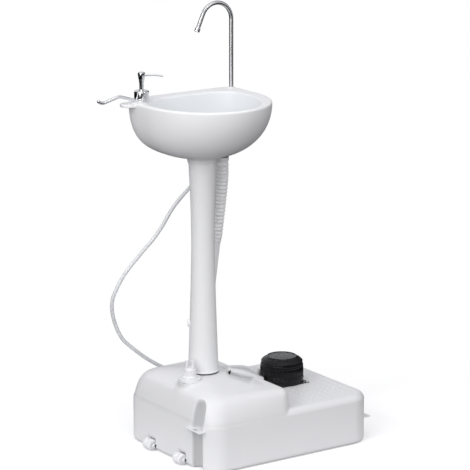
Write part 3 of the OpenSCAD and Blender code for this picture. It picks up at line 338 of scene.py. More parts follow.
def boxes(centers, size, turns, top=0.7):
    """Many small raised bars: centers (n, 3), size (length, width, height), turns in radians,
    the top face being smaller by that share."""
    corners = np.array([[-1, -1], [1, -1], [1, 1], [-1, 1]]) * 0.5
    ring = corners[None] * np.array(size[:2])
    c, s = np.cos(turns), np.sin(turns)
    turn = np.stack([np.stack([c, -s], -1), np.stack([s, c], -1)], -2)
    low = np.einsum("nij,kj->nki", turn, ring[0])
    high = low * top
    base = np.concatenate([low, np.zeros(low.shape[:2] + (1,))], -1)
    cap = np.concatenate([high, np.full(high.shape[:2] + (1,), size[2])], -1)
    points = np.concatenate([base, cap], 1) + centers[:, None, :]
    start = (np.arange(len(centers)) * 8)[:, None, None]
    pattern = np.array([[0, 1, 5, 4], [1, 2, 6, 5], [2, 3, 7, 6], [3, 0, 4, 7], [4, 5, 6, 7]])
    return points.reshape(-1, 3), (start + pattern[None]).reshape(-1, 4).tolist()


def domes(centers, radius, height, sides=8):
    """Many small pips: three rings and a point each."""
    angle = circle(sides)
    rise = np.radians([0, 38, 68])
    ring = np.stack(
        [
            radius * np.cos(rise)[:, None] * np.cos(angle),
            radius * np.cos(rise)[:, None] * np.sin(angle),
            height * np.sin(rise)[:, None] + 0 * angle,
        ],
        -1,
    ).reshape(-1, 3)
    one = np.vstack([ring, [[0, 0, height]]])
    points = (centers[:, None, :] + one[None]).reshape(-1, 3)
    sides_of = grid_faces(3, sides).tolist()
    tip = [[2 * sides + i, 2 * sides + (i + 1) % sides, 3 * sides] for i in range(sides)]
    faces = [
        [n * len(one) + v for v in f] for n in range(len(centers)) for f in sides_of + tip
    ]
    return points, faces


# ---- objects ----

def piece(
    name, parts, finish, body="stand", stands_for=(), sharp=35.0, finishes=(), shade=None
):
    """One mesh object of the parts, in the shared frame, riding on a CAD body. finish is a
    name, or several that finishes deals out to the parts by number. shade is painted
    shade: it darkens the first part's points in its recesses."""
    points, faces, kinds, count = [], [], [], 0
    for k, (p, f) in enumerate(parts):
        points.append(p)
        faces.extend([[v + count for v in face] for face in f])
        kinds.extend([finishes[k] if finishes else 0] * len(f))
        count += len(p)
    mesh = bpy.data.meshes.new(name)
    mesh.from_pydata((np.vstack(points) * MM).tolist(), [], faces)
    shape = bmesh.new()
    shape.from_mesh(mesh)
    bmesh.ops.recalc_face_normals(shape, faces=shape.faces)
    shape.to_mesh(mesh)
    shape.free()
    # Painted shade: these values darken the points' colour in the moulded finish.
    if shade is not None:
        dark = np.zeros(len(mesh.vertices), np.float32)
        dark[: len(shade)] = shade
        mesh.attributes.new("shade", "FLOAT", "POINT").data.foreach_set("value", dark)
    if finishes:
        mesh.polygons.foreach_set("material_index", np.array(kinds, np.int32))
    mesh.polygons.foreach_set("use_smooth", np.ones(len(mesh.polygons), bool))
    mesh.set_sharp_from_angle(angle=math.radians(sharp))
    names = [finish] if isinstance(finish, str) else finish
    for each in names:
        mesh.materials.append(FINISHES[each])
    obj = bpy.data.objects.new(name, mesh)
    bpy.context.scene.collection.objects.link(obj)
    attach(obj, body)
    if stands_for:
        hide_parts(*stands_for)
    return obj


# ---- materials ----


class Tree:
    """Short way to add and join the nodes of a material or a group."""

    def __init__(self, tree):
        self.tree = tree
        self.tree.nodes.clear()

    def put(self, node, values):
        """Joins each value to the node's input of that name or number, or sets it there."""
        for key, value in dict(values).items():
            socket = node.inputs[key]
            if isinstance(value, bpy.types.NodeSocket):
                self.tree.links.new(value, socket)
            else:
                socket.default_value = value

    def add(self, kind, inputs=(), **values):
        """Node of that kind, with its properties and inputs set."""
        node = self.tree.nodes.new(kind)
        for key, value in values.items():
            setattr(node, key, value)
        self.put(node, inputs)
        return node

    def math(self, operation, a, b=0.0, clamp=False):
        """Result of one sum on two values."""
        inputs = {0: a, 1: b}
        node = self.add("ShaderNodeMath", inputs, operation=operation, use_clamp=clamp)
        return node.outputs[0]

    def blend(self, factor, a, b):
        """Colour a at factor 0 and b at 1."""
        node = self.add("ShaderNodeMix", data_type="RGBA")
        at = {s.name: i for i, s in enumerate(node.inputs) if s.enabled}
        self.put(node, {at["Factor"]: factor, at["A"]: a, at["B"]: b})
        return next(s for s in node.outputs if s.enabled)

    def noise(self, vector, scale, detail=2.0, roughness=0.5):
        """Value of a noise at a place."""
        return self.add(
            "ShaderNodeTexNoise",
            {"Vector": vector, "Scale": scale, "Detail": detail, "Roughness": roughness},
        ).outputs["Fac"]

    def ramp(self, value, low, high, **more):
        """Value brought to 0 at low and 1 at high."""
        inputs = {"Value": value, "From Min": low, "From Max": high}
        return self.add("ShaderNodeMapRange", inputs, **more).outputs["Result"]


def group(name, inputs, outputs):
    """Empty node group with those sockets: (name, kind, default) in, (name, kind) out."""
    tree = bpy.data.node_groups.new(name, "ShaderNodeTree")
    for label, kind, default in inputs:
        socket = tree.interface.new_socket(label, in_out="INPUT", socket_type="NodeSocket" + kind)
        socket.default_value = default
    for label, kind in outputs:
        tree.interface.new_socket(label, in_out="OUTPUT", socket_type="NodeSocket" + kind)
    nodes = Tree(tree)
    return nodes, nodes.add("NodeGroupInput").outputs, nodes.add("NodeGroupOutput")


def moulded_group():
    """Moulded skin: slow clouds in the colour, a wandering roughness and a fine grain. The
    attribute "shade" is painted shade: it darkens recesses where a piece has it."""
    n, given, out = group(
        "Moulded skin",
        [
            ("Color", "Color", (0.8, 0.8, 0.8, 1)),
            ("Cloud", "Float", 0.02),
            ("Roughness", "Float", 0.4),
            ("Sheen swing", "Float", 0.06),
            ("Grain size", "Float", 900.0),
            ("Grain height", "Float", 0.5),
        ],
        [("Color", "Color"), ("Roughness", "Float"), ("Height", "Float")],
    )
    place = n.add("ShaderNodeTexCoord").outputs["Object"]
    slow = n.noise(place, 9.0, 3.0)
    middle = n.noise(place, 55.0, 3.0)
    fine = n.noise(place, given["Grain size"])
    shade = n.math("MULTIPLY", n.math("SUBTRACT", slow, 0.5), given["Cloud"])
    # Painted shade: the "shade" attribute darkens the colour in recesses and creases.
    painted_recess_shade = n.add("ShaderNodeAttribute", attribute_name="shade").outputs["Fac"]
    value = n.math("MULTIPLY", n.math("ADD", 1.0, shade), n.math("SUBTRACT", 1.0, painted_recess_shade))
    tone = n.add("ShaderNodeHueSaturation", {"Color": given["Color"], "Value": value})
    swing = n.math("MULTIPLY", n.math("SUBTRACT", middle, 0.5), given["Sheen swing"])
    rough = n.math("ADD", given["Roughness"], swing, clamp=True)
    height = n.math("MULTIPLY", fine, given["Grain height"])
    n.put(out, {"Color": tone.outputs["Color"], "Roughness": rough, "Height": height})


def metal_group():
    """Worked metal: fine drawn lines along one axis and faint handling marks."""
    n, given, out = group(
        "Worked metal",
        [
            ("Color", "Color", (0.7, 0.7, 0.7, 1)),
            ("Roughness", "Float", 0.15),
            ("Line height", "Float", 0.1),
            ("Stretch", "Vector", (1.0, 1.0, 12.0)),
        ],
        [("Color", "Color"), ("Roughness", "Float"), ("Height", "Float")],
    )
    place = n.add("ShaderNodeTexCoord").outputs["Object"]
    drawn = n.add("ShaderNodeVectorMath", {0: place, 1: given["Stretch"]}, operation="DIVIDE")
    lines = n.noise(drawn.outputs[0], 1400.0, 2.0)
    marks = n.noise(place, 60.0, 4.0, 0.6)
    value = n.math("ADD", 0.97, n.math("MULTIPLY", marks, 0.06))
    tone = n.add("ShaderNodeHueSaturation", {"Color": given["Color"], "Value": value})
    swing = n.math("MULTIPLY", n.math("SUBTRACT", marks, 0.5), 0.08)
    rough = n.math("ADD", given["Roughness"], swing)
    height = n.math("MULTIPLY", lines, given["Line height"])
    n.put(out, {"Color": tone.outputs["Color"], "Roughness": rough, "Height": height})


def finish_of(name, group_name, settings, shader=(), bump=0.000005):
    """Material: the group's values feed a Principled shader and its bump."""
    material = bpy.data.materials.new(name)
    material.use_nodes = True
    n = Tree(material.node_tree)
    skin = n.add("ShaderNodeGroup", node_tree=bpy.data.node_groups[group_name])
    n.put(skin, settings)
    given = {"Base Color": skin.outputs["Color"], "Roughness": skin.outputs["Roughness"]}
    principled = n.add("ShaderNodeBsdfPrincipled", given)
    if bump:
        bumped = n.add(
            "ShaderNodeBump", {"Height": skin.outputs["Height"], "Distance": bump, "Strength": 0.6}
        )
        material.node_tree.links.new(bumped.outputs["Normal"], principled.inputs["Normal"])
    n.put(principled, shader)
    out = n.add("ShaderNodeOutputMaterial")
    material.node_tree.links.new(principled.outputs[0], out.inputs["Surface"])
    return material


def settings():
    """The values that the user sets in the panel."""
    return bpy.context.scene.wash_stand


def colour(value):
    """Colour with full cover."""
    return (value[0], value[1], value[2], 1.0)


FINISHES = {}


def make_finishes():
    """Makes a finish for each slot of the record, and the ones that only the looks need: the
    upper white, the bowl, and the lighter grey of the tread's pips, a painted highlight."""
    s = settings()
    moulded_group()
    metal_group()

    def moulded(name, value, rough, cloud=0.03, grain=900.0, height=0.5, shader=(), **more):
        FINISHES[name] = finish_of(
            name,
            "Moulded skin",
            {
                "Color": colour(value), "Cloud": cloud, "Roughness": rough,
                "Grain size": grain, "Grain height": height,
            },
            shader,
            **more,
        )

    def metal(name, value, rough, lines):
        FINISHES[name] = finish_of(
            name,
            "Worked metal",
            {"Color": colour(value), "Roughness": rough, "Line height": lines},
            {"Metallic": 1.0},
            bump=0.0,
        )

    moulded("moulded_white", s.white, 0.42, height=0.6, bump=0.00002)
    moulded("upper_white", s.upper_white, 0.42, height=0.6, bump=0.00002)
    moulded("bowl_white", s.bowl_white, 0.3, height=0.3, bump=0.00001)
    moulded("white_fitting", s.fitting_white, 0.3, bump=0.0)
    moulded("hose_white", s.hose_white, 0.38, bump=0.0)
    moulded("hose_clear", s.hose_clear, 0.3, bump=0.0)
    moulded("bottle_clear", s.hose_clear, 0.2, bump=0.0, shader={"Transmission Weight": 0.3})
    dull = {"Specular IOR Level": 0.28}
    moulded("pump_black", s.black, 0.13, 0.1, 700.0, 0.8, bump=0.000005, shader=dull)
    # Painted highlight: the pips get a lighter grey than the black cap, for the light caught on
    # their tops.
    moulded("pip_highlight_grey", s.pip_highlight_grey, 0.35, 0.4, 700.0, 0.8, bump=0.00001)
    moulded("bellows_rubber", s.rubber, 0.17, 0.15, 500.0, 1.0, bump=0.00001, shader=dull)
    moulded("seal_rubber", s.seal_and_painted_shade, 0.6, 0.1, 500.0, 1.0)
    metal("steel", s.steel, 0.33, 0.02)
    metal("chrome", s.chrome, 0.13, 0.0)


def tint(name, description, default):
    """Colour setting of the panel."""
    return bpy.props.FloatVectorProperty(
        name=name, description=description, default=default, subtype="COLOR", min=0, max=1
    )


class WashStandSettings(bpy.types.PropertyGroup):
    """Sizes and colours that a user would change."""

    white: tint("Moulded white", "Colour of the tank", (0.78, 0.78, 0.8))
    upper_white: tint("Upper white", "Colour of the pedestal and basin", (0.845, 0.845, 0.862))
    bowl_white: tint("Bowl white", "Colour of the inside of the bowl", (0.8, 0.815, 0.83))
    fitting_white: tint("Fitting white", "Colour of the collar, stopper, wheels and nuts",
        (0.84, 0.84, 0.86))
    hose_white: tint("Drain hose", "Colour of the drain hose", (0.93, 0.93, 0.94))
    hose_clear: tint("Supply hose", "Colour of the supply hose", (0.74, 0.75, 0.77))
    black: tint("Pump black", "Colour of the foot pump's hard pieces", (0.006, 0.006, 0.007))
    # Painted highlight: this lighter grey on the tread's pips stands for the light on their tops.
    pip_highlight_grey: tint("Tread pips", "Colour of the worn pips on the tread cap", (0.16, 0.16, 0.165))
    rubber: tint("Bellows black", "Colour of the bellows", (0.004, 0.004, 0.005))
    seal_and_painted_shade: tint("Seal grey", "Colour of the seals", (0.03, 0.03, 0.03))
    steel: tint("Steel", "Colour of the tap tube and springs", (0.62, 0.62, 0.63))
    chrome: tint("Chrome", "Colour of the plated pieces", (0.78, 0.78, 0.8))
    tread_pitch: bpy.props.FloatProperty(
        name="Tread pitch", description="Spacing of the raised bars on the deck, in millimetres",
        default=9.0, min=6.0, max=16.0,
    )
    tread_height: bpy.props.FloatProperty(
        name="Tread height", description="Height of the raised bars on the deck, in millimetres",
        default=0.45, min=0.2, max=1.5,
    )
    flute_depth: bpy.props.FloatProperty(
        name="Flute depth", description="Depth of the bellows' flutes, in millimetres",
        default=1.7, min=0.2, max=2.5,
    )
    key_power: bpy.props.FloatProperty(
        name="Key light", description="Power of the large light over the stand",
        default=5.2, min=0.0, max=200.0, unit="POWER",
    )


# ---- tank ----


def edge_max(a, b, r):
    """What two forms share, its edge rounded to r."""
    corner = np.hypot(np.maximum(a + r, 0), np.maximum(b + r, 0))
    return np.minimum(np.maximum(a, b), -r) + corner


def edge_min(a, b, r):
    """Two forms joined, the corner between them filled to r."""
    return -edge_max(-a, -b, r)


def rectangle(x, y, x0, x1, reach, radius):
    """Distance to a rounded rectangle in plan that is mirrored front to back."""
    qx = np.abs(x - (x0 + x1) / 2) - (x1 - x0) / 2 + radius
    qy = np.abs(y) - reach + radius
    outside = np.hypot(np.maximum(qx, 0), np.maximum(qy, 0))
    return np.minimum(np.maximum(qx, qy), 0) + outside - radius


def dome_form(x, y, z):
    """Dome: its wall leans in on a quarter ellipse from the base to the shoulder, whose reach
    shrinks to the right, and a crown runs up to the pedestal from the shoulder."""
    t = np.clip((x - DOME_LEFT) / (DOME_RIGHT - DOME_LEFT), 0, 1)
    top = mix(*DOME_SHOULDER, t)
    side = mix(*DOME_ROUND_SIDE, t)
    rise = np.clip((z - DOME_BASE) / (top - DOME_BASE), 0, SHOULDER_SINE)
    lean = 1 - np.sqrt(1 - rise**2)
    tight = DOME_CORNERS[1] - 2 * DOME_ROUND_RIGHT * lean
    corner = mix(DOME_CORNERS[0], tight, smooth(x, -150, -60))
    wall = rectangle(
        x, y, DOME_LEFT + DOME_ROUND_LEFT * lean, DOME_RIGHT - DOME_ROUND_RIGHT * lean,
        HALF_DEPTH - DOME_STEP - side * lean, corner,
    )
    over = 1 - math.sqrt(1 - SHOULDER_SINE**2)
    edge_z = DOME_BASE + (top - DOME_BASE) * SHOULDER_SINE
    reach_x = np.where(
        x < PEDESTAL_X,
        PEDESTAL_X - DOME_LEFT - DOME_ROUND_LEFT * over,
        DOME_RIGHT - DOME_ROUND_RIGHT * over - PEDESTAL_X,
    )
    reach_y = HALF_DEPTH - DOME_STEP - side * over
    across, along = np.abs((x - PEDESTAL_X) / reach_x), np.abs(y / reach_y)
    share = (across**CROWN_SQUARENESS + along**CROWN_SQUARENESS) ** (1 / CROWN_SQUARENESS)
    fall = np.minimum(1, share * mix(1, 1.3, t)) ** mix(2.4, 1.35, t)
    crown = mix(DOME_TOP, edge_z, fall)
    return edge_max(wall, z - crown, 14.0)


def segment(p, a, b):
    """Distance of points to the line from a to b."""
    line = b - a
    share = np.clip(((p - a) @ line) / (line @ line), 0, 1)
    return np.linalg.norm(p - a - share[..., None] * line, axis=-1)


def base_form(x, y, z):
    """Tank without its dome: a rounded slab with its two edges turned over."""
    base = rectangle(x, y, -HALF_LENGTH, HALF_LENGTH, HALF_DEPTH, TANK_CORNER)
    return edge_max(edge_max(base, z - DECK_Z, DECK_ROUND), -z, FOOT_ROUND)


def valley_level(x, y):
    """Height down to which the dome is open in front of the feed hose: a plane that falls to
    the right, and climbs clear of the dome on either side, behind the hose and at the deck."""
    screen = ACROSS[0] * x + ACROSS[1] * y
    level = VALLEY_Z - VALLEY_FALL * (x + 20) - 0.02 * (y - 18)
    aside = smooth(screen, 0, 26) + 1 - smooth(screen, -62, -44)
    level = level + VALLEY_CLIMB * (aside + smooth(y, 28, 56))
    return level + 90 * smooth(x, 18, 50)


def tank_form(p):
    """Signed form of the tank's outside, negative inside: the rounded base, the dome and the
    filler's pad joined, less the strap channels, wheel pockets, scoop, groove and valley."""
    x, y, z = p[..., 0], p[..., 1], p[..., 2]
    fillet = 3 + 9 * smooth(x, -30, 0) * smooth(HALF_DEPTH - np.abs(y), 8, 40)
    form = edge_min(base_form(x, y, z), np.maximum(dome_form(x, y, z), 70 - z), fillet)
    pad = np.hypot(x - FILLER[0], y - FILLER[1]) - FILLER_PAD_RADIUS
    pad = np.maximum(edge_max(pad, z - FILLER_PAD - 0.4, 1.0), 130 - z)
    form = edge_min(form, pad, 14.0)
    for end, top in zip((-1, 1), CHANNEL_TOPS):
        flat = (x - end * CHANNEL_X) ** 2 + (y - CHANNEL_Y) ** 2
        bar = np.sqrt(flat + np.maximum(z - top, 0) ** 2) - CHANNEL_RADIUS
        form = edge_max(form, -bar, 1.6)
    for side in (-1, 1):
        roll = np.where(
            z > WHEEL_Z, np.hypot(x - WHEEL_X, z - WHEEL_Z), np.abs(x - WHEEL_X)
        ) - POCKET_RADIUS
        pocket = np.maximum(roll, np.abs(y - side * WHEEL_Y) - POCKET_HALF)
        form = edge_max(form, -pocket, 1.5)
    tilt, spread = math.radians(SCOOP_TILT), math.radians(SCOOP_SPREAD)
    axis = np.array([math.cos(tilt), 0, math.sin(tilt)])
    q = p - SCOOP_APEX
    along = q @ axis
    off = np.linalg.norm(q - along[..., None] * axis, axis=-1)
    cone = np.maximum(off * math.cos(spread) - along * math.sin(spread), along - SCOOP_DEPTH)
    form = edge_max(form, -cone, 5.0)
    groove = segment(p, FEED_TANK - 4 * FEED_WAY, FEED_TANK + GROOVE_LENGTH * FEED_WAY)
    form = edge_max(form, GROOVE_RADIUS - groove, 2.0)
    return edge_max(form, z - valley_level(x, y), 5.0)


def tank_painted_shade(points):
    """Painted shade on the tank's skin: darker deep in the strap channels, more on their
    inner side, a dark line along the crease where the dome meets the base, and a dark ring round
    the filler's collar."""
    x, y, z = (points[:, k] for k in range(3))
    base, dome = base_form(x, y, z), dome_form(x, y, z)
    crease = 0.13 * np.exp(-(((base - dome) / 2.2) ** 2)) * smooth(z, 97, 104)
    depth = -np.minimum(base, dome)
    within = np.hypot(np.abs(x) - CHANNEL_X, y - CHANNEL_Y) < CHANNEL_RADIUS + 0.8
    side = mix(0.08, 0.34, smooth(y, -138, -108))
    channel = within * smooth(depth, 0.6, 7.0) * side
    collar = np.hypot(x - FILLER[0], y - FILLER[1])
    ring = 0.22 * (1 - smooth(collar, 25.5, 30.0)) * (z > 150)
    return np.maximum(np.maximum(channel, ring), crease)


def first_exit(base, way, reach, samples=72, halvings=16):
    """Distance from each base point, inside the form, to where its ray first leaves it."""
    steps = np.linspace(0, reach, samples)
    low = np.zeros(len(base))
    open_yet = np.ones(len(base), bool)
    for s in steps[1:]:
        inside = tank_form(base + way * s) < 0
        low = np.where(open_yet & inside, s, low)
        open_yet &= inside
    high = low + steps[1]
    for _ in range(halvings):
        middle = 0.5 * (low + high)
        inside = tank_form(base + way * middle[:, None]) < 0
        low, high = np.where(inside, middle, low), np.where(inside, high, middle)
    return 0.5 * (low + high)


def tank_surface():
    """Skin of the tank. Rays leave an inner core, upright over its flat middle and fanned out
    round its edge, and each point lies where its ray leaves the tank's form."""
    inner_x, inner_y = HALF_LENGTH - TANK_CORNER, HALF_DEPTH - TANK_CORNER
    xs = spaced(
        (-inner_x, -75, 5), (-75, -12, 2.1), (-12, 8, 0.9), (8, 22, 2), (22, inner_x, 6)
    )
    pocket = WHEEL_Y + POCKET_HALF
    ys = spaced(
        (-inner_y, -94, 1.3), (-94, -6, 4), (-6, 42, 2), (42, inner_y, 4.5),
        (-pocket - 1, -pocket + 1, 0.5), (pocket - 1, pocket + 1, 0.5),
        (-WHEEL_Y + POCKET_HALF - 1, -WHEEL_Y + POCKET_HALF + 1, 0.5),
        (WHEEL_Y - POCKET_HALF - 1, WHEEL_Y - POCKET_HALF + 1, 0.5),
    )
    fine, plain = np.linspace(0, 90, 41), np.linspace(0, 90, 15)
    corner = [plain, plain, fine, fine]
    base, heading = [], []
    for k, (cx, cy) in enumerate([(1, 1), (-1, 1), (-1, -1), (1, -1)]):
        turn = corner[k] + 90 * k
        base.append(np.tile([cx * inner_x, cy * inner_y], (len(turn), 1)))
        heading.append(turn)
        run = (xs[::-1], ys[::-1], xs, ys)[k][1:-1]
        fixed = np.full(len(run), (inner_y, -inner_x, -inner_y, inner_x)[k])
        base.append(np.stack([run, fixed] if k % 2 == 0 else [fixed, run], -1))
        heading.append(np.full(len(run), 90.0 * (k + 1)))
    base, heading = np.vstack(base), np.radians(np.concatenate(heading))
    low = np.concatenate([[-90, -78, -66], np.arange(-58, -30, 2.2), [-28, -20, -10, 0]])
    walls = np.arange(56, 90, 6.8)
    high = np.concatenate([[0, 5, 9], np.arange(11, 44, 1.1), np.arange(44, 89, 1.9), [90]])
    z0 = np.concatenate([np.full(len(low), 50.0), walls, np.full(len(high), DOME_BASE)])
    rise = np.radians(np.concatenate([low, 0 * walls, high]))
    way = np.stack(
        [
            np.cos(rise)[:, None] * np.cos(heading)[None],
            np.cos(rise)[:, None] * np.sin(heading)[None],
            np.sin(rise)[:, None] + 0 * heading[None],
        ],
        -1,
    )
    start = np.concatenate(
        [np.broadcast_to(base, (len(rise),) + base.shape), z0[:, None, None] + 0 * way[..., :1]], -1
    )
    shape = start.shape
    start, way = start.reshape(-1, 3), way.reshape(-1, 3)
    side = (start + way * first_exit(start, way, 130.0)[:, None]).reshape(shape)
    gx, gy = np.meshgrid(xs, ys)
    parts = [(side.reshape(-1, 3), grid_faces(shape[0], shape[1]))]
    for z, up in ((50.0, -1.0), (DOME_BASE, 1.0)):
        under = np.stack([gx, gy, np.full_like(gx, z)], -1).reshape(-1, 3)
        away = np.tile([0, 0, up], (len(under), 1))
        flat = under + away * first_exit(under, away, 110.0)[:, None]
        parts.append((flat, grid_faces(len(ys), len(xs), round_columns=False)))
    count, faces = 0, []
    for points, f in parts:
        faces.append(f + count)
        count += len(points)
    return weld(np.vstack([p for p, _ in parts]), np.vstack(faces))


def tab(end, height):
    """Peg tab: a thin plate across the channel with a round eye, as rays from the eye's
    middle to the plate's outline, its edges rounded."""
    eye_x, eye, thick, edge, lip = 6.0, 6.0, 2.6, 0.7, 0.4
    angle = circle(72)
    c, s = np.cos(angle), np.sin(angle)
    to_circle = -eye_x * c + np.sqrt(np.maximum(TAB_REACH**2 - (eye_x * s) ** 2, 0))
    to_end = np.where(c < -0.05, (eye_x + 5.0) / np.maximum(-c, 0.05), 1e3)
    outer = np.minimum(to_circle, to_end)
    turn = np.linspace(-math.pi / 2, math.pi / 2, 6)

    def level(a, fillet):
        return (thick / 2 - fillet) * np.sign(a) + fillet * np.sin(a)

    ring = [(outer - edge + edge * np.cos(a), level(a, edge)) for a in turn]
    hole = [(eye + lip - lip * np.cos(a) + 0 * outer, level(a, lip)) for a in turn[::-1]]
    rows = np.stack([np.stack([r * c, r * s, np.full_like(r, z)], -1) for r, z in ring + hole])
    points, faces = sheet_of(rows, round_rows=True)
    points = (points + [eye_x, 0, height]) * [-end if end > 0 else 1, 1, 1]
    return points + [end * TAB_X, CHANNEL_Y, 0], faces


def deck_tread():
    """Raised bars on the deck, leaning left and right in turn, clear of the dome and pump."""
    s = settings()
    pitch = s.tread_pitch
    gx, gy = np.meshgrid(np.arange(26, 208, pitch), np.arange(-156, 158, pitch))
    row = np.round((gy + 156) / pitch)
    column = np.round((gx - 26) / pitch)
    gx = gx + (row % 2) * 0.5 * pitch
    keep = (gx < 206) & ~((np.abs(gx - PUMP[0]) < 55) & (np.abs(gy - PUMP[1]) < 55))
    keep &= ~((np.abs(gx - 60) < 18) & (np.abs(gy - 62) < 18))
    keep &= np.hypot(np.maximum(gx - 175, 0), np.maximum(np.abs(gy) - 125, 0)) < 30
    turns = np.where((row + column) % 2 == 0, 0.72, -0.72)[keep]
    centers = np.stack([gx[keep], gy[keep], np.full(keep.sum(), DECK_Z - 0.05)], -1)
    return boxes(centers, (6.6, 1.7, s.tread_height), turns, 0.72)


def build_tank():
    """Tank skin, wheel lugs, peg tabs, filler boss and deck tread."""
    parts = [tank_surface()]
    for side in (-1, 1):
        for edge in (-1, 1):
            y = side * WHEEL_Y + edge * (POCKET_HALF + 2.5)
            profile = rounded([(0, -2.5, 0), (5.2, -2.5, 0.8), (5.2, 2.5, 0.8), (0, 2.5, 0)], 3)
            parts.append(turned(lathe(profile, 40), (WHEEL_X, y, WHEEL_Z), (0, 1, 0)))
            web = slab(rounded_box(4.5, 5.2, 1.2), -2.5, 2.5, 0.6)
            parts.append(turned(web, (WHEEL_X + 4.5, y, WHEEL_Z), (0, 1, 0)))
    parts += [tab(-1, 94.0), tab(1, 51.0)]
    boss = rounded(
        [(19, 150, 0), (25.6, 150, 0), (25.6, 176.5, 0.6), (19, 176.5, 0)]
    )
    parts.append(lathe(boss, 96, FILLER, closed=True))
    neck = rounded(
        [(17, 140, 0), (20.5, 140, 0), (20.5, 185.8, 0.6), (17, 185.8, 0.6), (17, 140.1, 0)]
    )
    parts.append(lathe(neck, 96, FILLER))
    parts.append(lathe([(0, 141), (17.5, 141)], 48, FILLER))
    piece(
        "tank_body", parts, "moulded_white", stands_for=["tank_shell"], sharp=42,
        shade=tank_painted_shade(parts[0][0]),
    )
    piece("deck_tread", [deck_tread()], "moulded_white", sharp=20)


# ---- filler and wheels ----


def build_filler():
    """Collar of the filler and its stopper: a fluted grip with two prongs."""
    collar = rounded(
        [(20.6, RING_Z, 0), (25, RING_Z, 0.5), (25, NECK_TOP, 2.2), (22.2, NECK_TOP + 0.1, 0.4),
         (21.6, NECK_TOP - 0.9, 0.4), (20.6, NECK_TOP - 0.9, 0.3), (20.6, RING_Z, 0)]
    )
    piece(
        "filler_collar", [lathe(collar, 120, FILLER, closed=True)], "white_fitting",
        stands_for=["filler_ring"],
    )
    plug = rounded(
        [(0, -16, 0), (15.6, -16, 1.5), (16.7, -12, 0.6), (16.7, 0, 0), (18.2, 0.05, 0.4),
         (18.2, 2, 0.9), (15.0, 2.4, 1.2), (14.2, 4.5, 1.0)]
    )
    top = rounded([(14.2, 17.6, 0), (13.6, 19.2, 1.6), (10.6, 19.6, 0.6), (10.2, 23.2, 1.2),
        (0, 23.6, 0)])
    flutes = 16

    def swell(angle, z, radius):
        grip = smooth(z, 4.2, 6.5) * (1 - smooth(z, 17.2, 18.6))
        wave = np.clip(np.cos(flutes * angle), 0, 1) ** 1.5
        return -1.25 * wave * grip

    body = np.vstack([plug, np.stack([np.full(14, 14.2), np.linspace(4.6, 17.5, 14)], -1), top])
    parts = [lathe(body, 224, swell=swell)]
    for x, high in ((-8.75, 17.0), (6.5, 14.0)):
        prong = slab(rounded_box(2.25, 4.5, 1.6), 23.0, 24.0 + high - 1, 1.3, 4)
        parts.append(moved(prong, x, 0))
    parts = [moved(p, FILLER[0], FILLER[1], NECK_TOP) for p in parts]
    piece("filler_plug", parts, "white_fitting", "stopper", ["filler_stopper"], sharp=50)


def build_wheels():
    """Two transport rollers with crowned treads and recessed hubs."""
    half = WHEEL_WIDTH / 2
    profile = rounded(
        [(2.55, -half + 1.5, 0), (4.2, -half + 1.5, 0.3), (4.6, -half + 0.2, 0.3),
         (8.6, -half + 0.2, 0.5),
         (9.2, -half + 1.6, 0.3), (10.2, -half, 0.5), (11.4, -half, 0.8), (12.4, -half + 1.6, 1.0),
         (12.5, -3.0, 2.0), (11.7, -1.6, 0.6), (11.6, 1.6, 0.6), (12.5, 3.0, 2.0),
         (12.4, half - 1.6, 1.0), (11.4, half, 0.8), (10.2, half, 0.5), (9.2, half - 1.6, 0.3),
         (8.6, half - 0.2, 0.5), (4.6, half - 0.2, 0.3), (4.2, half - 1.5, 0.3),
         (2.55, half - 1.5, 0)],
        3,
    )
    for name, side in (("back", 1), ("front", -1)):
        part = turned(lathe(profile, 72, closed=True), (WHEEL_X, side * WHEEL_Y, WHEEL_Z),
            (0, 1, 0))
        piece(name + "_roller", [part], "white_fitting", name + "_wheel", ["wheel_" + name])


# ---- foot pump ----


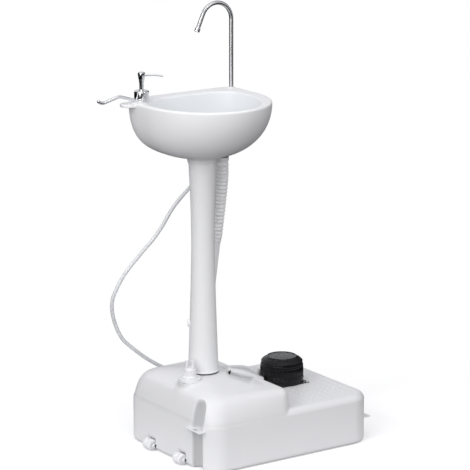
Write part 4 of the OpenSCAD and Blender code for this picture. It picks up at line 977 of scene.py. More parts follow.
def build_pump():
    """Foot pump: plate and ring, fluted bellows, spring, ribbed tread cap with its pips,
    screws, feed hose and elbow."""
    half = PUMP_PLATE / 2
    plate = moved(slab(rounded_box(half, half, 6.0, 10), PLATE_Z, PLATE_TOP, 0.7), *PUMP)
    ring = rounded(
        [(47.5, PLATE_TOP, 0), (51.2, PLATE_TOP - 0.1, 0.3), (50.6, PLATE_TOP + 2.2, 0.8),
         (50.1, PLATE_TOP + 2.6, 0.5), (50.1, 124.6, 0.6), (51.0, 125.2, 0.5), (51.0, 127.4, 0.6),
         (50.2, 128.0, 0.5), (50.2, 130.2, 0.4), (47.5, 130.4, 0)]
    )
    screws = []
    for sx in (-1, 1):
        for sy in (-1, 1):
            x, y = PUMP[0] + sx * (half - 6), PUMP[1] + sy * (half - 6)
            head = rounded([(3.4, PLATE_TOP - 0.1, 0), (3.4, 116.6, 0.6), (2.2, 117.5, 1.0),
                (0, 117.6, 0)])
            screws.append(lathe(head, 28, (x, y)))
    spigot = tube(np.stack([FEED_PUMP - 6 * FEED_WAY, FEED_PUMP + 2 * FEED_WAY]), 8.2, 32)
    outlet = np.array([math.cos(math.radians(135)), math.sin(math.radians(135)), 0])
    stub = tube(
        np.stack([[*PUMP, 123.5] + outlet * 46, [*PUMP, 123.5] + outlet * 54]), 6.2, 28
    )
    piece(
        "pump_foot", [plate, lathe(ring, 144, PUMP, closed=True), spigot, stub], "pump_black",
        stands_for=["pump_base"],
    )
    piece("pump_screw_heads", screws, "steel", stands_for=["pump_screws"])

    flutes, depth = 36, settings().flute_depth

    def fluting(angle, z, radius):
        grip = smooth(z, RING_TOP + 0.8, RING_TOP + 3.5)
        grip = grip * (1 - smooth(z, BELLOWS_TOP - 3.5, BELLOWS_TOP - 0.8))
        wave = 1 - np.clip(np.cos(flutes * angle), 0, 1) ** 1.5
        return -depth * wave * grip

    z = np.concatenate([[RING_TOP], np.linspace(RING_TOP + 0.3, BELLOWS_TOP - 0.3, 26),
        [BELLOWS_TOP]])
    bulge = 0.7 * np.sin(np.pi * (z - RING_TOP) / (BELLOWS_TOP - RING_TOP))
    wall = np.stack([49.7 + bulge, z], -1)
    inside = np.array([[47.4, BELLOWS_TOP], [47.4, RING_TOP]])
    bellows = piece(
        "bellows", [lathe(np.vstack([wall, inside]), 36 * 10, PUMP, True, fluting)],
        "bellows_rubber", stands_for=["pump_bellows"], sharp=60,
    )
    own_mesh(bellows)
    coil = coil_line(*PUMP, 14, PLATE_TOP + 1.6, CAP_TOP - 8.2, 6, 28)
    spring = piece("pump_coil", [tube(coil, 1.1, 8)], "steel", stands_for=["pump_spring"])
    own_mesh(spring)

    ribs = 36
    cap_low = BELLOWS_TOP

    def shoulder(angle, z, radius):
        wave = 1 - np.clip(np.cos(ribs * angle), 0, 1) ** 2
        slope = smooth(z, cap_low + 10.6, cap_low + 11.6)
        slope = slope * (1 - smooth(z, CAP_TOP - 4.4, CAP_TOP - 3.4))
        ridge = (radius > 48.1) * 0.55
        return -wave * (1.15 * slope + ridge) * (radius > 36)

    cap = rounded(
        [(46.5, cap_low + 0.2, 0), (49.0, cap_low + 0.2, 0.3), (49.6, cap_low + 2.4, 0.5),
         (48.6, cap_low + 3.2, 0.4), (47.2, cap_low + 3.6, 0.3), (47.0, cap_low + 7.6, 0.3),
         (48.6, cap_low + 8.2, 0.4), (48.4, cap_low + 9.8, 0.5), (46.6, cap_low + 10.4, 0.4),
         (44.8, cap_low + 13.4, 2.5), (37.4, CAP_TOP - 3.4, 1.6), (35.4, CAP_TOP - 2.2, 0.6),
         (34.6, CAP_TOP - 1.0, 0.5), (33.2, CAP_TOP - 0.8, 0.5), (32.2, CAP_TOP - 1.2, 0.3),
         (31.6, CAP_TOP - 2.4, 0.4), (17.6, CAP_TOP - 1.0, 6.0),
         (0, CAP_TOP - 0.7, 0)],
        7,
    )
    under = np.array([[0, CAP_TOP - 5.6], [32.0, CAP_TOP - 8.0], [46.4, cap_low + 3.5],
        [46.4, cap_low + 0.2]])
    fine = even_profile(cap, 0.8)
    parts = [lathe(np.vstack([fine, under]), 36 * 8, PUMP, True, shoulder)]
    gx, gy = np.meshgrid(np.arange(-9, 10) * 3.9, np.arange(-10, 11) * 3.9 * 0.866)
    gx = gx + (np.arange(gx.shape[0])[:, None] % 2) * 1.95
    near = np.hypot(gx, gy)
    keep = near < 30.0
    top = CAP_TOP - 0.9 - 1.3 * (near / 31.6) ** 2
    centers = np.stack([PUMP[0] + gx[keep], PUMP[1] + gy[keep], top[keep] - 0.1], -1)
    parts.append(domes(centers, 1.5, 1.15))
    # Painted highlight: the pips take the lighter grey finish, for the light on their tops.
    piece(
        "tread_cap", parts, ["pump_black", "pip_highlight_grey"], "tread", ["pump_cap"], sharp=50,
        finishes=[0, 1],
    )

    share = np.linspace(0, 1, 40)[:, None]
    line = mix(FEED_TANK - 3 * FEED_WAY, FEED_PUMP - 2.5 * FEED_WAY, share)
    line = line + np.array([0, 0, FEED_ARCH]) * (1 - share**3)
    piece("feed_hose", [tube(line, FEED_RADIUS, 40)], "hose_white", stands_for=["pump_feed_hose"])
    elbow_x, elbow_y = PUMP[0] + 58.5 * outlet[0], PUMP[1] + 58.5 * outlet[1]
    hub = rounded(
        [(0, PLATE_TOP + 2.6, 0), (7.6, PLATE_TOP + 2.6, 0.6), (8, PLATE_TOP + 4, 0.4),
         (8, 133.5, 0), (7.4, 137.6, 2.5), (4.6, 140.6, 2.5), (0, 141.5, 0)]
    )
    out = np.array([SUPPLY_ROUTE[0][0] - elbow_x, SUPPLY_ROUTE[0][1] - elbow_y, 0])
    nozzle = np.stack([[elbow_x, elbow_y, 133] + out * t for t in (0, 0.5, 0.9, 1.0)])
    bead = tube(nozzle, [5.5, 5.5, 5.5, 5.0], 28)
    piece(
        "outlet_elbow", [lathe(hub, 48, (elbow_x, elbow_y)), bead], "white_fitting",
        stands_for=["pump_outlet_elbow"],
    )


def even_profile(profile, step):
    """The profile with points at even distances."""
    flat = np.concatenate([profile, np.zeros((len(profile), 1))], 1)
    return even_route(flat, step)[:, :2]


# ---- cords ----


def build_cords():
    """Supply hose and ribbed drain hose with its cuff."""
    path = even_route(smooth_route(SUPPLY_ROUTE, 12), 4.0)
    supply = piece(
        "supply_tube", [tube(path, SUPPLY_RADIUS, 20)], "hose_clear", stands_for=["supply_hose"]
    )
    path = even_route(smooth_route(DRAIN_ROUTE, 16), RIB_PITCH / 10)
    at = np.concatenate([[0], np.cumsum(np.linalg.norm(np.diff(path, axis=0), axis=1))])
    ribs_end = 5 + RIB_PITCH * DRAIN_RIBS
    ribbed = smooth(at, 3, 6) * (1 - smooth(at, ribs_end - 2, ribs_end + 1))
    wave = 0.5 - 0.5 * np.cos(2 * math.pi * (at - 5) / RIB_PITCH)
    radius = RIB_ROOT - 0.3 + (RIB_RADIUS - RIB_ROOT + 0.3) * wave**0.7 * ribbed
    drain = piece(
        "drain_tube", [tube(path, radius, 48)], "hose_white", stands_for=["drain_hose"], sharp=60
    )
    way = path[-1] - path[-4]
    way /= np.linalg.norm(way)
    flange = rounded(
        [(0, -2, 0), (13.4, -2, 0), (13.8, 0.2, 0.5), (13.8, 3.4, 1.2), (12.6, 4.2, 0.8),
         (12.2, 8, 0.6), (12.2, CUFF_LENGTH, 1.0), (9.4, CUFF_LENGTH, 0.8),
         (9.2, CUFF_LENGTH - 30, 0)]
    )
    bottom = np.array([[0, CUFF_LENGTH - 30]])
    cuff = piece(
        "drain_end", [turned(lathe(np.vstack([flange, bottom]), 64), path[-1], way)], "hose_white",
        stands_for=["drain_cuff"],
    )


# ---- pedestal ----


def column_radius(z):
    """Radius of the column at a height over the dome: two power curves from its waist."""
    low = mix(WAIST, 34.5, np.clip(1 - z / WAIST_Z, 0, 1) ** 1.35)
    high = mix(WAIST, 32.0, np.clip((z - WAIST_Z) / (COLUMN_TOP - WAIST_Z), 0, 1) ** 1.9)
    return np.where(z < WAIST_Z, low, high)


def build_pedestal():
    """Hollow column with its foot flange, a dark ring of painted shade under it and a small round
    boss.
    """
    z = np.concatenate([np.linspace(5.5, 470, 120), np.linspace(472, 482.4, 8)])
    wall = np.stack([column_radius(z), z], -1)
    ankle = float(column_radius(5.5))
    foot = rounded(
        [(30, 2.0, 0), (35.8, 2.0, 0.5), (35.8, 4.4, 1.0), (35.2, 4.9, 0.5), (ankle, 5.3, 0.4),
         (ankle, 5.5, 0)]
    )
    top = np.array([[31.6, 482.9], [30, 483.0], [30, 512], [27.5, 512], [27.5, 483]])
    profile = np.vstack([foot, wall[1:], top])
    column = lathe(profile, 128)
    boss_z = 296.0 - 184.0
    way = np.array([-ACROSS[0], -ACROSS[1], 0.0])
    radius = float(column_radius(boss_z))
    boss = rounded(
        [(8.6, -4, 0), (8.2, 2.2, 0.8), (7.7, 4.6, 1.2), (6.2, 5.0, 0.8), (5.4, 4.2, 0.6),
         (0, 4.0, 0)]
    )
    knob = turned(lathe(boss, 40), way * radius + [0, 0, boss_z], way)
    # Painted shade: a dark ring with the seal finish sits in the gap under the flange, where there
    # is only shade.
    seal_and_painted_shade = lathe([(30, -2.5), (34.6, -2.5), (34.6, 2.1), (30, 2.1)], 96)
    parts = [moved(p, PEDESTAL_X, 0, DOME_TOP) for p in (column, knob, seal_and_painted_shade)]
    piece(
        "pedestal_column", parts, ["upper_white", "seal_rubber"], stands_for=["pedestal"],
        sharp=40, finishes=[0, 0, 1],
    )


# ---- basin ----


def d_outline(u, half, front, back, power):
    """D outline: half an ellipse in front and a squared half at the back."""
    c, s = np.cos(u), np.sin(u)
    e = np.where(s < 0, 1.0, 2 / np.where(c < 0, power[0], power[1]))
    x = half * np.sign(c) * np.abs(c) ** e
    y = np.where(s < 0, front, back) * np.sign(s) * np.abs(s) ** e
    return np.stack([x, y], -1)


def grown_outline(u, sizes, by):
    """D outline of the basin or the bowl, moved outwards by a distance."""
    half, front, back = (sizes[key] + by for key in ("half", "front", "back"))
    return d_outline(u, half, front, back, sizes["power"])


def basin_angles(count):
    """Angles of the outline's points, closer together where the squared corners turn."""
    u = circle(count * 16)
    p = grown_outline(u, BASIN, 0)
    turn = np.roll(p, -1, 0) - p
    step = np.linalg.norm(turn, axis=1)
    heading = np.arctan2(turn[:, 1], turn[:, 0])
    bend = np.abs(np.angle(np.exp(1j * (np.roll(heading, -1) - heading))))
    share = step / step.sum() + 0.5 * bend / bend.sum() + 0.15 / len(u)
    weight = np.concatenate([[0], np.cumsum(share)])
    at = np.linspace(0, weight[-1], count, endpoint=False)
    return np.interp(at, weight, np.concatenate([u, [2 * math.pi]]))


def basin_ring(u, share, inset):
    """Outside of the basin: between the round neck and the D outline, fuller at the left."""
    outline = grown_outline(u, BASIN, -inset)
    neck = (34.0 - inset) * np.stack([np.cos(u), np.sin(u)], -1)
    left = (0.5 - 0.5 * np.cos(u)) ** 2
    full = (share + LEFT_FULLNESS * share * (1 - share) * left)[:, None]
    return mix(neck, outline, full) + [PEDESTAL_X, 0]


def bowl_ring(u, share, outset):
    """Inside of the bowl: between the round floor at the drain and the bowl's D outline."""
    outline = grown_outline(u, BOWL, outset)
    floor = (BOSS_RADIUS + outset) * np.stack([np.cos(u), np.sin(u)], -1)
    floor = np.array([DRAIN[0] - PEDESTAL_X, DRAIN[1]]) + floor
    return mix(floor, outline + BOWL["middle"], share) + [PEDESTAL_X, 0]


def build_basin():
    """Basin as one closed surface: neck, throat, belly, rolled rim, deck, bowl and drain
    seat, with the soap ledge beside it."""
    u = basin_angles(300)
    belly = [(1, 137), (1, 75), (0.62, 31), (0.13, 17)]
    throat = [(0.13, 17), (0.05, 14.4), (0, 11), (0, 3)]
    inside = [(1, -4), (0.99, -59), (0.86, -85), (0.12, -92)]
    rings, kinds = [], []

    def ring(plan, z, kind):
        rings.append(np.concatenate([plan, np.full((len(u), 1), z)], 1))
        kinds.append(kind)

    for r, z in ((31.5, SEAM_Z + 2), (33.4, SEAM_Z + 0.3), (34.0, SEAM_Z + 0.9)):
        ring(basin_ring(u, 0, 34.0 - r), z, 0)
    for share, rise in bezier(throat, np.linspace(1, 0.08, 9)):
        ring(basin_ring(u, share, 0), SEAM_Z + rise, 0)
    for share, rise in bezier(belly, np.linspace(1, 0, 44)):
        ring(basin_ring(u, share, 0), SEAM_Z + rise, 0)
    for a in np.radians([15, 32, 50, 68, 90]):
        ring(basin_ring(u, 1, 4 * (1 - math.cos(a))), RIM_Z - 4 + 4 * math.sin(a), 0)
    edge, lip = basin_ring(u, 1, 4), bowl_ring(u, 1, 4)
    for t in np.linspace(0, 1, 9)[1:]:
        ring(mix(edge, lip, t), RIM_Z, 0)
    for a in np.radians([20, 40, 60, 78]):
        ring(bowl_ring(u, 1, 4 * (1 - math.sin(a))), RIM_Z - 4 + 4 * math.cos(a), 1)
    for share, drop in bezier(inside, np.linspace(0, 1, 44)):
        ring(bowl_ring(u, share, 0), RIM_Z + drop, 1)
    for r, z in ((21.5, FLOOR_Z), (19.8, FLOOR_Z), (19.3, FLOOR_Z - 0.4), (19.3, FLOOR_Z - 1.5),
        (11, FLOOR_Z - 1.6)):
        ring(bowl_ring(u, 0, r - BOSS_RADIUS), z, 1)
    grid = np.stack(rings)
    first = next(i for i, k in enumerate(kinds) if k == 1)
    shell = sheet_of(grid[: first + 1])
    bowl = sheet_of(grid[first:])
    ledge = ledge_outline()
    parts = [shell, bowl, slab(ledge, RIM_Z - 9, RIM_Z - 2, 1.6, 5)]
    piece(
        "basin", parts, ["upper_white", "bowl_white"], stands_for=["basin_shell"],
        sharp=45, finishes=[0, 1, 0],
    )


def ledge_outline():
    """Outline of the soap ledge: a half circle with straight sides into the basin's wall."""
    angle = np.linspace(math.pi / 2, 3 * math.pi / 2, 33)
    arc = np.stack([-280 + 19 * np.cos(angle), SOAP[1] + 19 * np.sin(angle)], -1)
    right = np.array([[-266.0, SOAP[1] - 19], [-266.0, SOAP[1] + 19]])
    return np.vstack([arc, right])


# ---- drain ----


def build_drain():
    """Drain strainer with its holes drawn as dark discs of painted shade, and the nut under the
    basin.
    """
    flange = rounded(
        [(11, FLOOR_Z - 1.5, 0), (18.9, FLOOR_Z - 1.5, 0), (19.0, FLOOR_Z + 0.1, 0.7),
         (15.5, FLOOR_Z + 0.25, 2),
         (12.4, FLOOR_Z - 0.9, 1.0), (9.5, FLOOR_Z - 1.3, 1.0), (0, FLOOR_Z - 1.3, 0)]
    )
    parts = [lathe(flange, 96, DRAIN)]
    holes = [(0.0, 0.0)] + [(5.6 * math.cos(a),
        5.6 * math.sin(a)) for a in np.arange(6) * math.pi / 3]
    # Painted shade: each hole is a shallow dark disc on the strainer, in place of the shade of an
    # opening.
    hole_shade_discs = [
        lathe(
            rounded([(1.9, FLOOR_Z - 1.25, 0), (1.9, FLOOR_Z - 1.1, 0.1), (1.6, FLOOR_Z - 1.1, 0.1),
                     (1.6, FLOOR_Z - 1.25, 0), (0, FLOOR_Z - 1.25, 0)], 2), 24,
            (DRAIN[0] + x, DRAIN[1] + y),
        )
        for x, y in holes
    ]
    tail = rounded([(11, 638, 0), (11, FLOOR_Z - 2, 0)])
    parts.append(lathe(tail, 48, DRAIN))
    piece(
        "strainer", parts + hole_shade_discs, ["chrome", "seal_rubber"], stands_for=["drain_strainer"],
        finishes=[0, 0] + [1] * len(hole_shade_discs),
    )

    def knurl(a, z, radius):
        wave = 0.5 - 0.5 * np.cos(24 * a)
        return -0.7 * wave**2 * (radius > 15) * smooth(z, 659, 660.5) * (1 - smooth(z, 664.5, 666))

    z = np.linspace(658.4, 666.1, 12)
    grip = np.stack([np.full(12, 15.5), z], -1)
    nut = np.vstack([[[11.2, 658.0], [14.9, 658.0]], grip, [[14.9, 666.5], [11.2, 666.5]]])
    piece(
        "nut_of_drain", [lathe(nut, 240, DRAIN, True, knurl)], "white_fitting",
        stands_for=["drain_nut"], sharp=60,
    )


# ---- tap ----


def tap_line():
    """Centre line of the gooseneck: up, over to the left on an arc, and down its leg."""
    bend_z = RIM_Z + TAP_RISE
    turn = np.radians(np.linspace(0, TAP_TURN, 90))
    rise = np.linspace(RIM_Z + 0.2, bend_z, 60)[:-1]
    up = np.stack([np.full(59, TAP[0]), np.full(59, TAP[1]), rise], -1)
    arc = np.stack(
        [TAP[0] - TAP_BEND * (1 - np.cos(turn)), np.full(90, TAP[1]),
        bend_z + TAP_BEND * np.sin(turn)], -1
    )
    splay = math.radians(180 - TAP_TURN)
    way = np.array([-math.sin(splay), 0, -math.cos(splay)])
    leg = arc[-1] + way * np.linspace(0, TAP_LEG, 16)[1:, None]
    return np.vstack([up, arc, leg]), way


def build_tap():
    """Gooseneck tap, its aerator, bush and nut."""
    path, way = tap_line()
    piece("gooseneck", [tube(path, TAP_RADIUS, 40)], "steel", "spout", ["tap_spout"])
    end = rounded(
        [(3.6, -1.2, 0), (5.2, -1.2, 0.5), (5.6, 0.6, 0.4), (6.2, 1.0, 0.4), (6.2, 3.0, 0.4),
         (5.8, 3.4, 0.3),
         (5.8, 3.9, 0.3), (6.2, 4.3, 0.3), (6.2, 8.2, 0.8), (5.0, 9.0, 0.3), (4.4, 9.0, 0.3),
         (4.2, 7.2, 0.3),
         (0, 7.0, 0)]
    )
    piece("aerator", [turned(lathe(end, 48), path[-1], way)], "chrome", "spout", ["tap_aerator"])
    bush = rounded(
        [(4.85, RIM_Z - 6, 0), (4.85, RIM_Z + 1.4, 0.2), (5.6, RIM_Z + 2.0, 0.4),
         (8.4, RIM_Z + 1.5, 0.9),
         (9.5, RIM_Z + 0.6, 0.6), (9.5, RIM_Z - 0.1, 0), (8, RIM_Z - 0.1, 0), (8, 716, 0),
         (5, 716, 0)]
    )
    piece("bush", [lathe(bush, 64, TAP)], "white_fitting", stands_for=["tap_bush"])
    nut = slab(hexagon(12.0), 724.0, 732.0, 0.8)
    piece("nut_of_tap", [moved(nut, *TAP)], "white_fitting", stands_for=["tap_nut"])


def hexagon(radius):
    """Outline of a nut, by the radius to its corners."""
    angle = np.radians(np.arange(6) * 60.0)
    return np.stack([radius * np.cos(angle), radius * np.sin(angle)], -1)


# ---- soap pump and towel hook ----


def build_soap_pump():
    """Soap pump: collar, press head with its drooping nozzle, stem and spring."""
    collar = rounded(
        [(5.0, COLLAR_Z, 0), (16.2, COLLAR_Z, 0.5), (16.5, COLLAR_Z + 1.0, 0.3),
         (16.5, COLLAR_Z + 3.4, 0.3),
         (16.1, COLLAR_Z + 3.8, 0.2), (16.1, COLLAR_Z + 4.4, 0.2), (16.5, COLLAR_Z + 4.8, 0.3),
         (16.5, COLLAR_TOP - 1.6, 1.6), (14.2, COLLAR_TOP - 0.1, 1.2), (7.6, COLLAR_TOP, 0.3),
         (7.2, COLLAR_TOP - 0.6, 0.3), (4.9, COLLAR_TOP - 0.6, 0.3), (4.9, COLLAR_TOP - 12, 0)]
    )
    sleeve = rounded([(9, RIM_Z - 17, 0), (9, COLLAR_Z, 0)])
    piece(
        "collar_of_soap", [lathe(collar, 112, SOAP), lathe(sleeve, 48, SOAP)], "chrome",
        stands_for=["soap_collar"],
    )
    foot = COLLAR_TOP - 1.5
    head = rounded(
        [(0, foot, 0), (4.8, foot, 0.4), (4.8, foot + 16, 3.0), (5.6, foot + 22, 3.0),
         (7.9, foot + 35, 3.0),
         (8.0, HEAD_TOP - 1.2, 1.6), (5.0, HEAD_TOP, 1.2), (0, HEAD_TOP + 0.0, 0)]
    )
    heading, droop = math.radians(-34.0), math.radians(10.0)
    flat = np.array([math.cos(heading), math.sin(heading), 0])
    start = np.array([*SOAP, HEAD_TOP - 7.0])
    knee = start + flat * 32.6
    tip = knee + (flat * math.cos(droop) - np.array([0, 0, math.sin(droop)])) * 15.2
    line = bent_route([start, knee, tip], 5.0)
    share = np.linspace(0, 1, len(line))
    radius = 2.9 - 0.75 * smooth(share, 0.05, 0.5)
    radius[-2:] = [2.15, 2.0]
    way = (tip - knee) / np.linalg.norm(tip - knee)
    mouth = rounded([(2.0, 0, 0), (1.3, 0.1, 0.1), (1.2, -0.6, 0), (0, -0.6, 0)], 2)
    mouth = turned(lathe(mouth, 24), tip, way)
    piece(
        "press_head", [lathe(head, 72, SOAP), tube(line, radius, 28), mouth], "chrome",
        "soap_press_head", ["soap_head"], sharp=50,
    )
    lo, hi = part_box("soap_stem")
    low, high = lo.z / MM, hi.z / MM
    stem = [(0, low, 0), (4.0, low, 0.3), (4.0, low + 3, 0.3), (3.2, low + 3.2, 0),
            (3.2, high, 0.5), (0, high, 0)]
    piece("stem_of_soap", [lathe(rounded(stem), 40, SOAP)], "steel", "soap_plunger", ["soap_stem"])
    lo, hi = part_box("soap_spring")
    coil = coil_line(*SOAP, 2.9, lo.z / MM + 0.5, hi.z / MM - 0.5, 7, 20)
    spring = piece("coil_of_soap", [tube(coil, 0.45, 6)], "steel", stands_for=["soap_spring"])
    foot = (SOAP[0] * MM, SOAP[1] * MM, lo.z)
    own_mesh(spring)


def build_towel_hook():
    """Bent rod with a rounded tip, its eye under the soap collar and the flat link."""
    eye, rod = COLLAR_RADIUS - 1, 3.5
    at = np.array([*SOAP, RIM_Z])
    foot = at + [-eye - 3.5, 0, rod + 0.4]
    knee, heel = at + [-58, 0, 16.0], at + [-103, 0, 4.5]
    tip = heel + [-11, 0, 8.0]
    line = bent_route([foot, knee, heel, tip], 7.0, 16)
    left = np.linalg.norm(line - tip, axis=1)
    radius = rod * np.sqrt(np.clip(1 - (1 - np.clip(left / rod, 0, 1)) ** 2, 0.002, 1))
    pipe = rounded(
        [(9.2, RIM_Z + 0.1, 0), (eye, RIM_Z + 0.1, 0.6), (eye, RIM_Z + 2.45, 0.6),
         (9.2, RIM_Z + 2.45, 0),
         (9.2, RIM_Z + 0.1, 0)]
    )
    link = slab(rounded_box(4.2, rod, 1.5), RIM_Z + 0.1, RIM_Z + 4.6, 0.8)
    link = moved(link, SOAP[0] - COLLAR_RADIUS - 1.6, SOAP[1])
    piece(
        "hook_rod", [tube(line, radius, 32), lathe(pipe, 96, SOAP), link], "chrome", "towel_hook",
        ["towel_arm"], sharp=45,
    )


# ---- stage ----

CAMERA = {
    "azimuth": 34.392, "pitch": 13.634, "lens": 199.149, "sensor": 36.0,
    "place": (-3.25663, -4.70197, 1.87017),
}
# grey of the floor as the stand sees it, and its own light as the camera sees it
FLOOR_BOUNCE, FLOOR_LIFT = 0.62, 0.25
FLOOR_FADE = (0.3, 0.75)
# the world's grey at the horizon and overhead, and the turn of the dark bands in the chrome
WORLD_LOW, WORLD_HIGH = 0.7, 0.56
BAND_TURN = 0.6
# name: (place, size, share of the key light's power)
LAMPS = {
    "top_light": ((-0.7, -0.9, 3.0), 2.6, 4.4),
    "left_light": ((-3.0, -1.6, 1.3), 2.0, 7.8),
    "front_light": ((-1.6, -3.2, 1.2), 1.6, 2.3),
    "spark_left": ((-2.6, -0.6, 2.2), 0.14, 1.5),
    "spark_right": ((0.6, -2.6, 2.0), 0.14, 1.2),
}


def build_stage():
    """Camera on the photograph's view, a floor that fades to white and a soft studio."""
    scene = bpy.context.scene
    az, pitch = math.radians(CAMERA["azimuth"]), math.radians(CAMERA["pitch"])
    right = Vector((math.cos(az), -math.sin(az), 0))
    ahead = math.cos(pitch)
    forward = Vector((math.sin(az) * ahead, math.cos(az) * ahead, -math.sin(pitch)))
    up = right.cross(forward)
    data = bpy.data.cameras.new("photo_camera")
    data.lens, data.sensor_width = CAMERA["lens"], CAMERA["sensor"]
    data.dof.use_dof = False
    data.clip_end = 50
    camera = bpy.data.objects.new("photo_camera", data)
    turn = Matrix((right, up, -forward)).transposed().to_4x4()
    camera.matrix_world = Matrix.Translation(CAMERA["place"]) @ turn
    scene.collection.objects.link(camera)
    scene.camera = camera
    scene.view_settings.view_transform = "Standard"

    floor = bpy.data.materials.new("studio_floor")
    floor.use_nodes = True
    n = Tree(floor.node_tree)
    place = n.add("ShaderNodeTexCoord").outputs["Object"]
    apart = n.add("ShaderNodeVectorMath", {0: place}, operation="LENGTH").outputs["Value"]
    far = n.ramp(apart, *FLOOR_FADE, interpolation_type="SMOOTHSTEP")
    seen = n.add("ShaderNodeLightPath").outputs["Is Camera Ray"]
    paint = n.blend(seen, (FLOOR_BOUNCE, FLOOR_BOUNCE, FLOOR_BOUNCE, 1), (0.9, 0.9, 0.91, 1))
    lit = n.add("ShaderNodeBsdfDiffuse", {"Color": paint})
    lift = n.add("ShaderNodeEmission", {"Strength": n.math("MULTIPLY", seen, FLOOR_LIFT)})
    near = n.add("ShaderNodeAddShader", {0: lit.outputs[0], 1: lift.outputs[0]})
    white = n.add("ShaderNodeEmission", {"Color": (1, 1, 1, 1), "Strength": seen})
    both = n.add("ShaderNodeMixShader", {0: far, 1: near.outputs[0], 2: white.outputs[0]})
    n.add("ShaderNodeOutputMaterial", {"Surface": both.outputs[0]})
    mesh = bpy.data.meshes.new("studio_floor")
    ring = circle(64)
    points = np.stack([12 * np.cos(ring), 12 * np.sin(ring), 0 * ring - 0.0004], -1)
    mesh.from_pydata(points.tolist(), [], [list(range(64))])
    mesh.materials.append(floor)
    ground = bpy.data.objects.new("studio_floor", mesh)
    scene.collection.objects.link(ground)
    for name, (place_at, size, share) in LAMPS.items():
        lamp = bpy.data.lights.new(name, "AREA")
        lamp.shape, lamp.size, lamp.energy = "SQUARE", size, share * settings().key_power
        obj = bpy.data.objects.new(name, lamp)
        aim = Vector((-0.05, 0.0, 0.45)) - Vector(place_at)
        obj.rotation_euler = aim.to_track_quat("-Z", "Y").to_euler()
        obj.location = place_at
        scene.collection.objects.link(obj)

    world = bpy.data.worlds.new("studio_world")
    world.use_nodes = True
    scene.world = world
    n = Tree(world.node_tree)
    path = n.add("ShaderNodeLightPath").outputs
    way = n.add("ShaderNodeTexCoord").outputs["Generated"]
    parts = n.add("ShaderNodeSeparateXYZ", {0: way}).outputs
    azimuth = n.math("ARCTAN2", parts["Y"], parts["X"])
    wave = n.math("SINE", n.math("ADD", n.math("MULTIPLY", azimuth, 3.0), BAND_TURN))
    band = n.ramp(wave, -0.1, 0.5)
    sky = n.ramp(parts["Z"], 0.35, 0.8)
    dark = n.math("MULTIPLY", band, n.math("SUBTRACT", 1.0, n.math("MULTIPLY", sky, 0.6)))
    mirror = n.blend(dark, (0.7, 0.71, 0.73, 1), (0.05, 0.052, 0.055, 1))
    rise = n.ramp(parts["Z"], 0.0, 0.8)
    low, high = [(v, v, 1.02 * v, 1) for v in (WORLD_LOW, WORLD_HIGH)]
    soft = n.blend(path["Is Glossy Ray"], n.blend(rise, low, high), mirror)
    seen = n.blend(path["Is Camera Ray"], soft, (1, 1, 1, 1))
    back = n.add("ShaderNodeBackground", {"Color": seen, "Strength": 1.0})
    n.add("ShaderNodeOutputWorld", {"Surface": back.outputs[0]})


# ---- operators ----


def build_kept():
    """Gives the CAD pieces that stay in sight, or hidden, the finishes of their slots."""
    slots = {p["node"]: p["material_slot"] for p in frame["record"]["subparts"]}
    for name, obj in frame["nodes"].items():
        obj.data.materials.clear()
        obj.data.materials.append(FINISHES[slots[name]])


class BuildStep:
    """What the operators share: each runs its build function."""

    bl_options = {"REGISTER", "UNDO"}

    def execute(self, context):
        self.build()
        return {"FINISHED"}


class WASHSTAND_OT_finishes(BuildStep, bpy.types.Operator):
    """Make the finishes of every slot."""

    bl_idname, bl_label = "washstand.finishes", "Finishes"
    build = staticmethod(make_finishes)


class WASHSTAND_OT_stage(BuildStep, bpy.types.Operator):
    """Add the camera, floor and lights."""

    bl_idname, bl_label = "washstand.stage", "Camera and studio"
    build = staticmethod(build_stage)


class WASHSTAND_OT_cords(BuildStep, bpy.types.Operator):
    """Add the supply hose and the drain hose."""

    bl_idname, bl_label = "washstand.cords", "Hoses"
    build = staticmethod(build_cords)


class WASHSTAND_OT_tank(BuildStep, bpy.types.Operator):
    """Add the tank, its tabs, lugs and tread."""

    bl_idname, bl_label = "washstand.tank", "Tank"
    build = staticmethod(build_tank)


class WASHSTAND_OT_filler(BuildStep, bpy.types.Operator):
    """Add the filler's collar and stopper."""

    bl_idname, bl_label = "washstand.filler", "Filler"
    build = staticmethod(build_filler)


class WASHSTAND_OT_wheels(BuildStep, bpy.types.Operator):
    """Add the two transport rollers."""

    bl_idname, bl_label = "washstand.wheels", "Wheels"
    build = staticmethod(build_wheels)


class WASHSTAND_OT_pump(BuildStep, bpy.types.Operator):
    """Add the foot pump and its fittings."""

    bl_idname, bl_label = "washstand.pump", "Foot pump"
    build = staticmethod(build_pump)


class WASHSTAND_OT_pedestal(BuildStep, bpy.types.Operator):
    """Add the pedestal column."""

    bl_idname, bl_label = "washstand.pedestal", "Pedestal"
    build = staticmethod(build_pedestal)


class WASHSTAND_OT_basin(BuildStep, bpy.types.Operator):
    """Add the basin and its soap ledge."""

    bl_idname, bl_label = "washstand.basin", "Basin"
    build = staticmethod(build_basin)


class WASHSTAND_OT_drain(BuildStep, bpy.types.Operator):
    """Add the strainer and the drain nut."""

    bl_idname, bl_label = "washstand.drain", "Drain"
    build = staticmethod(build_drain)


class WASHSTAND_OT_tap(BuildStep, bpy.types.Operator):
    """Add the gooseneck tap and its fittings."""

    bl_idname, bl_label = "washstand.tap", "Tap"
    build = staticmethod(build_tap)


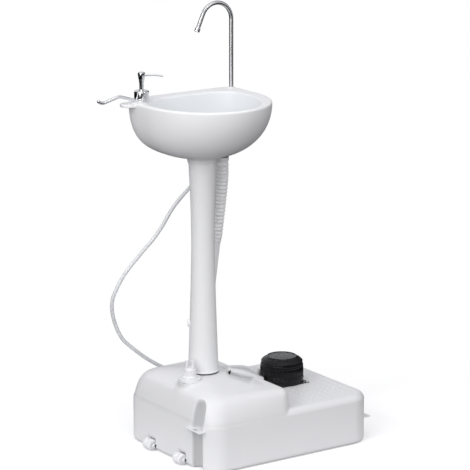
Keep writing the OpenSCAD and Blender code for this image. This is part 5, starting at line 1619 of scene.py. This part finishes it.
class WASHSTAND_OT_soap(BuildStep, bpy.types.Operator):
    """Add the soap pump."""

    bl_idname, bl_label = "washstand.soap", "Soap pump"
    build = staticmethod(build_soap_pump)


class WASHSTAND_OT_hook(BuildStep, bpy.types.Operator):
    """Add the towel hook."""

    bl_idname, bl_label = "washstand.hook", "Towel hook"
    build = staticmethod(build_towel_hook)


class WASHSTAND_OT_kept(BuildStep, bpy.types.Operator):
    """Give the CAD pieces their finishes."""

    bl_idname, bl_label = "washstand.kept", "Kept CAD pieces"
    build = staticmethod(build_kept)


OPERATORS = [
    WASHSTAND_OT_finishes, WASHSTAND_OT_stage, WASHSTAND_OT_cords, WASHSTAND_OT_tank,
    WASHSTAND_OT_filler, WASHSTAND_OT_wheels, WASHSTAND_OT_pump, WASHSTAND_OT_pedestal,
    WASHSTAND_OT_basin, WASHSTAND_OT_drain, WASHSTAND_OT_tap, WASHSTAND_OT_soap, WASHSTAND_OT_hook,
    WASHSTAND_OT_kept,
]


class WASHSTAND_PT_panel(bpy.types.Panel):
    """Panel in the 3D view's sidebar with every step and setting."""

    bl_label = "Camp wash stand"
    bl_idname = "WASHSTAND_PT_panel"
    bl_space_type = "VIEW_3D"
    bl_region_type = "UI"
    bl_category = "Wash stand"

    def draw(self, context):
        column = self.layout.column()
        for kind in OPERATORS:
            column.operator(kind.bl_idname)
        for name in WashStandSettings.__annotations__:
            column.prop(context.scene.wash_stand, name)


def register():
    """Adds the settings, operators and panel to Blender."""
    for kind in [WashStandSettings, *OPERATORS, WASHSTAND_PT_panel]:
        bpy.utils.register_class(kind)
    bpy.types.Scene.wash_stand = bpy.props.PointerProperty(type=WashStandSettings)


def unregister():
    """Takes them out again."""
    del bpy.types.Scene.wash_stand
    for kind in reversed([WashStandSettings, *OPERATORS, WASHSTAND_PT_panel]):
        bpy.utils.unregister_class(kind)


def plain(bounds):
    """Bounds as plain lists."""
    return [[float(v) for v in corner] for corner in bounds]


def main():
    """Runs every operator in turn."""
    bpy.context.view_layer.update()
    register()
    for kind in OPERATORS:
        getattr(bpy.ops.washstand, kind.bl_idname.split(".")[1])()


if __name__ == "__main__":
    main()
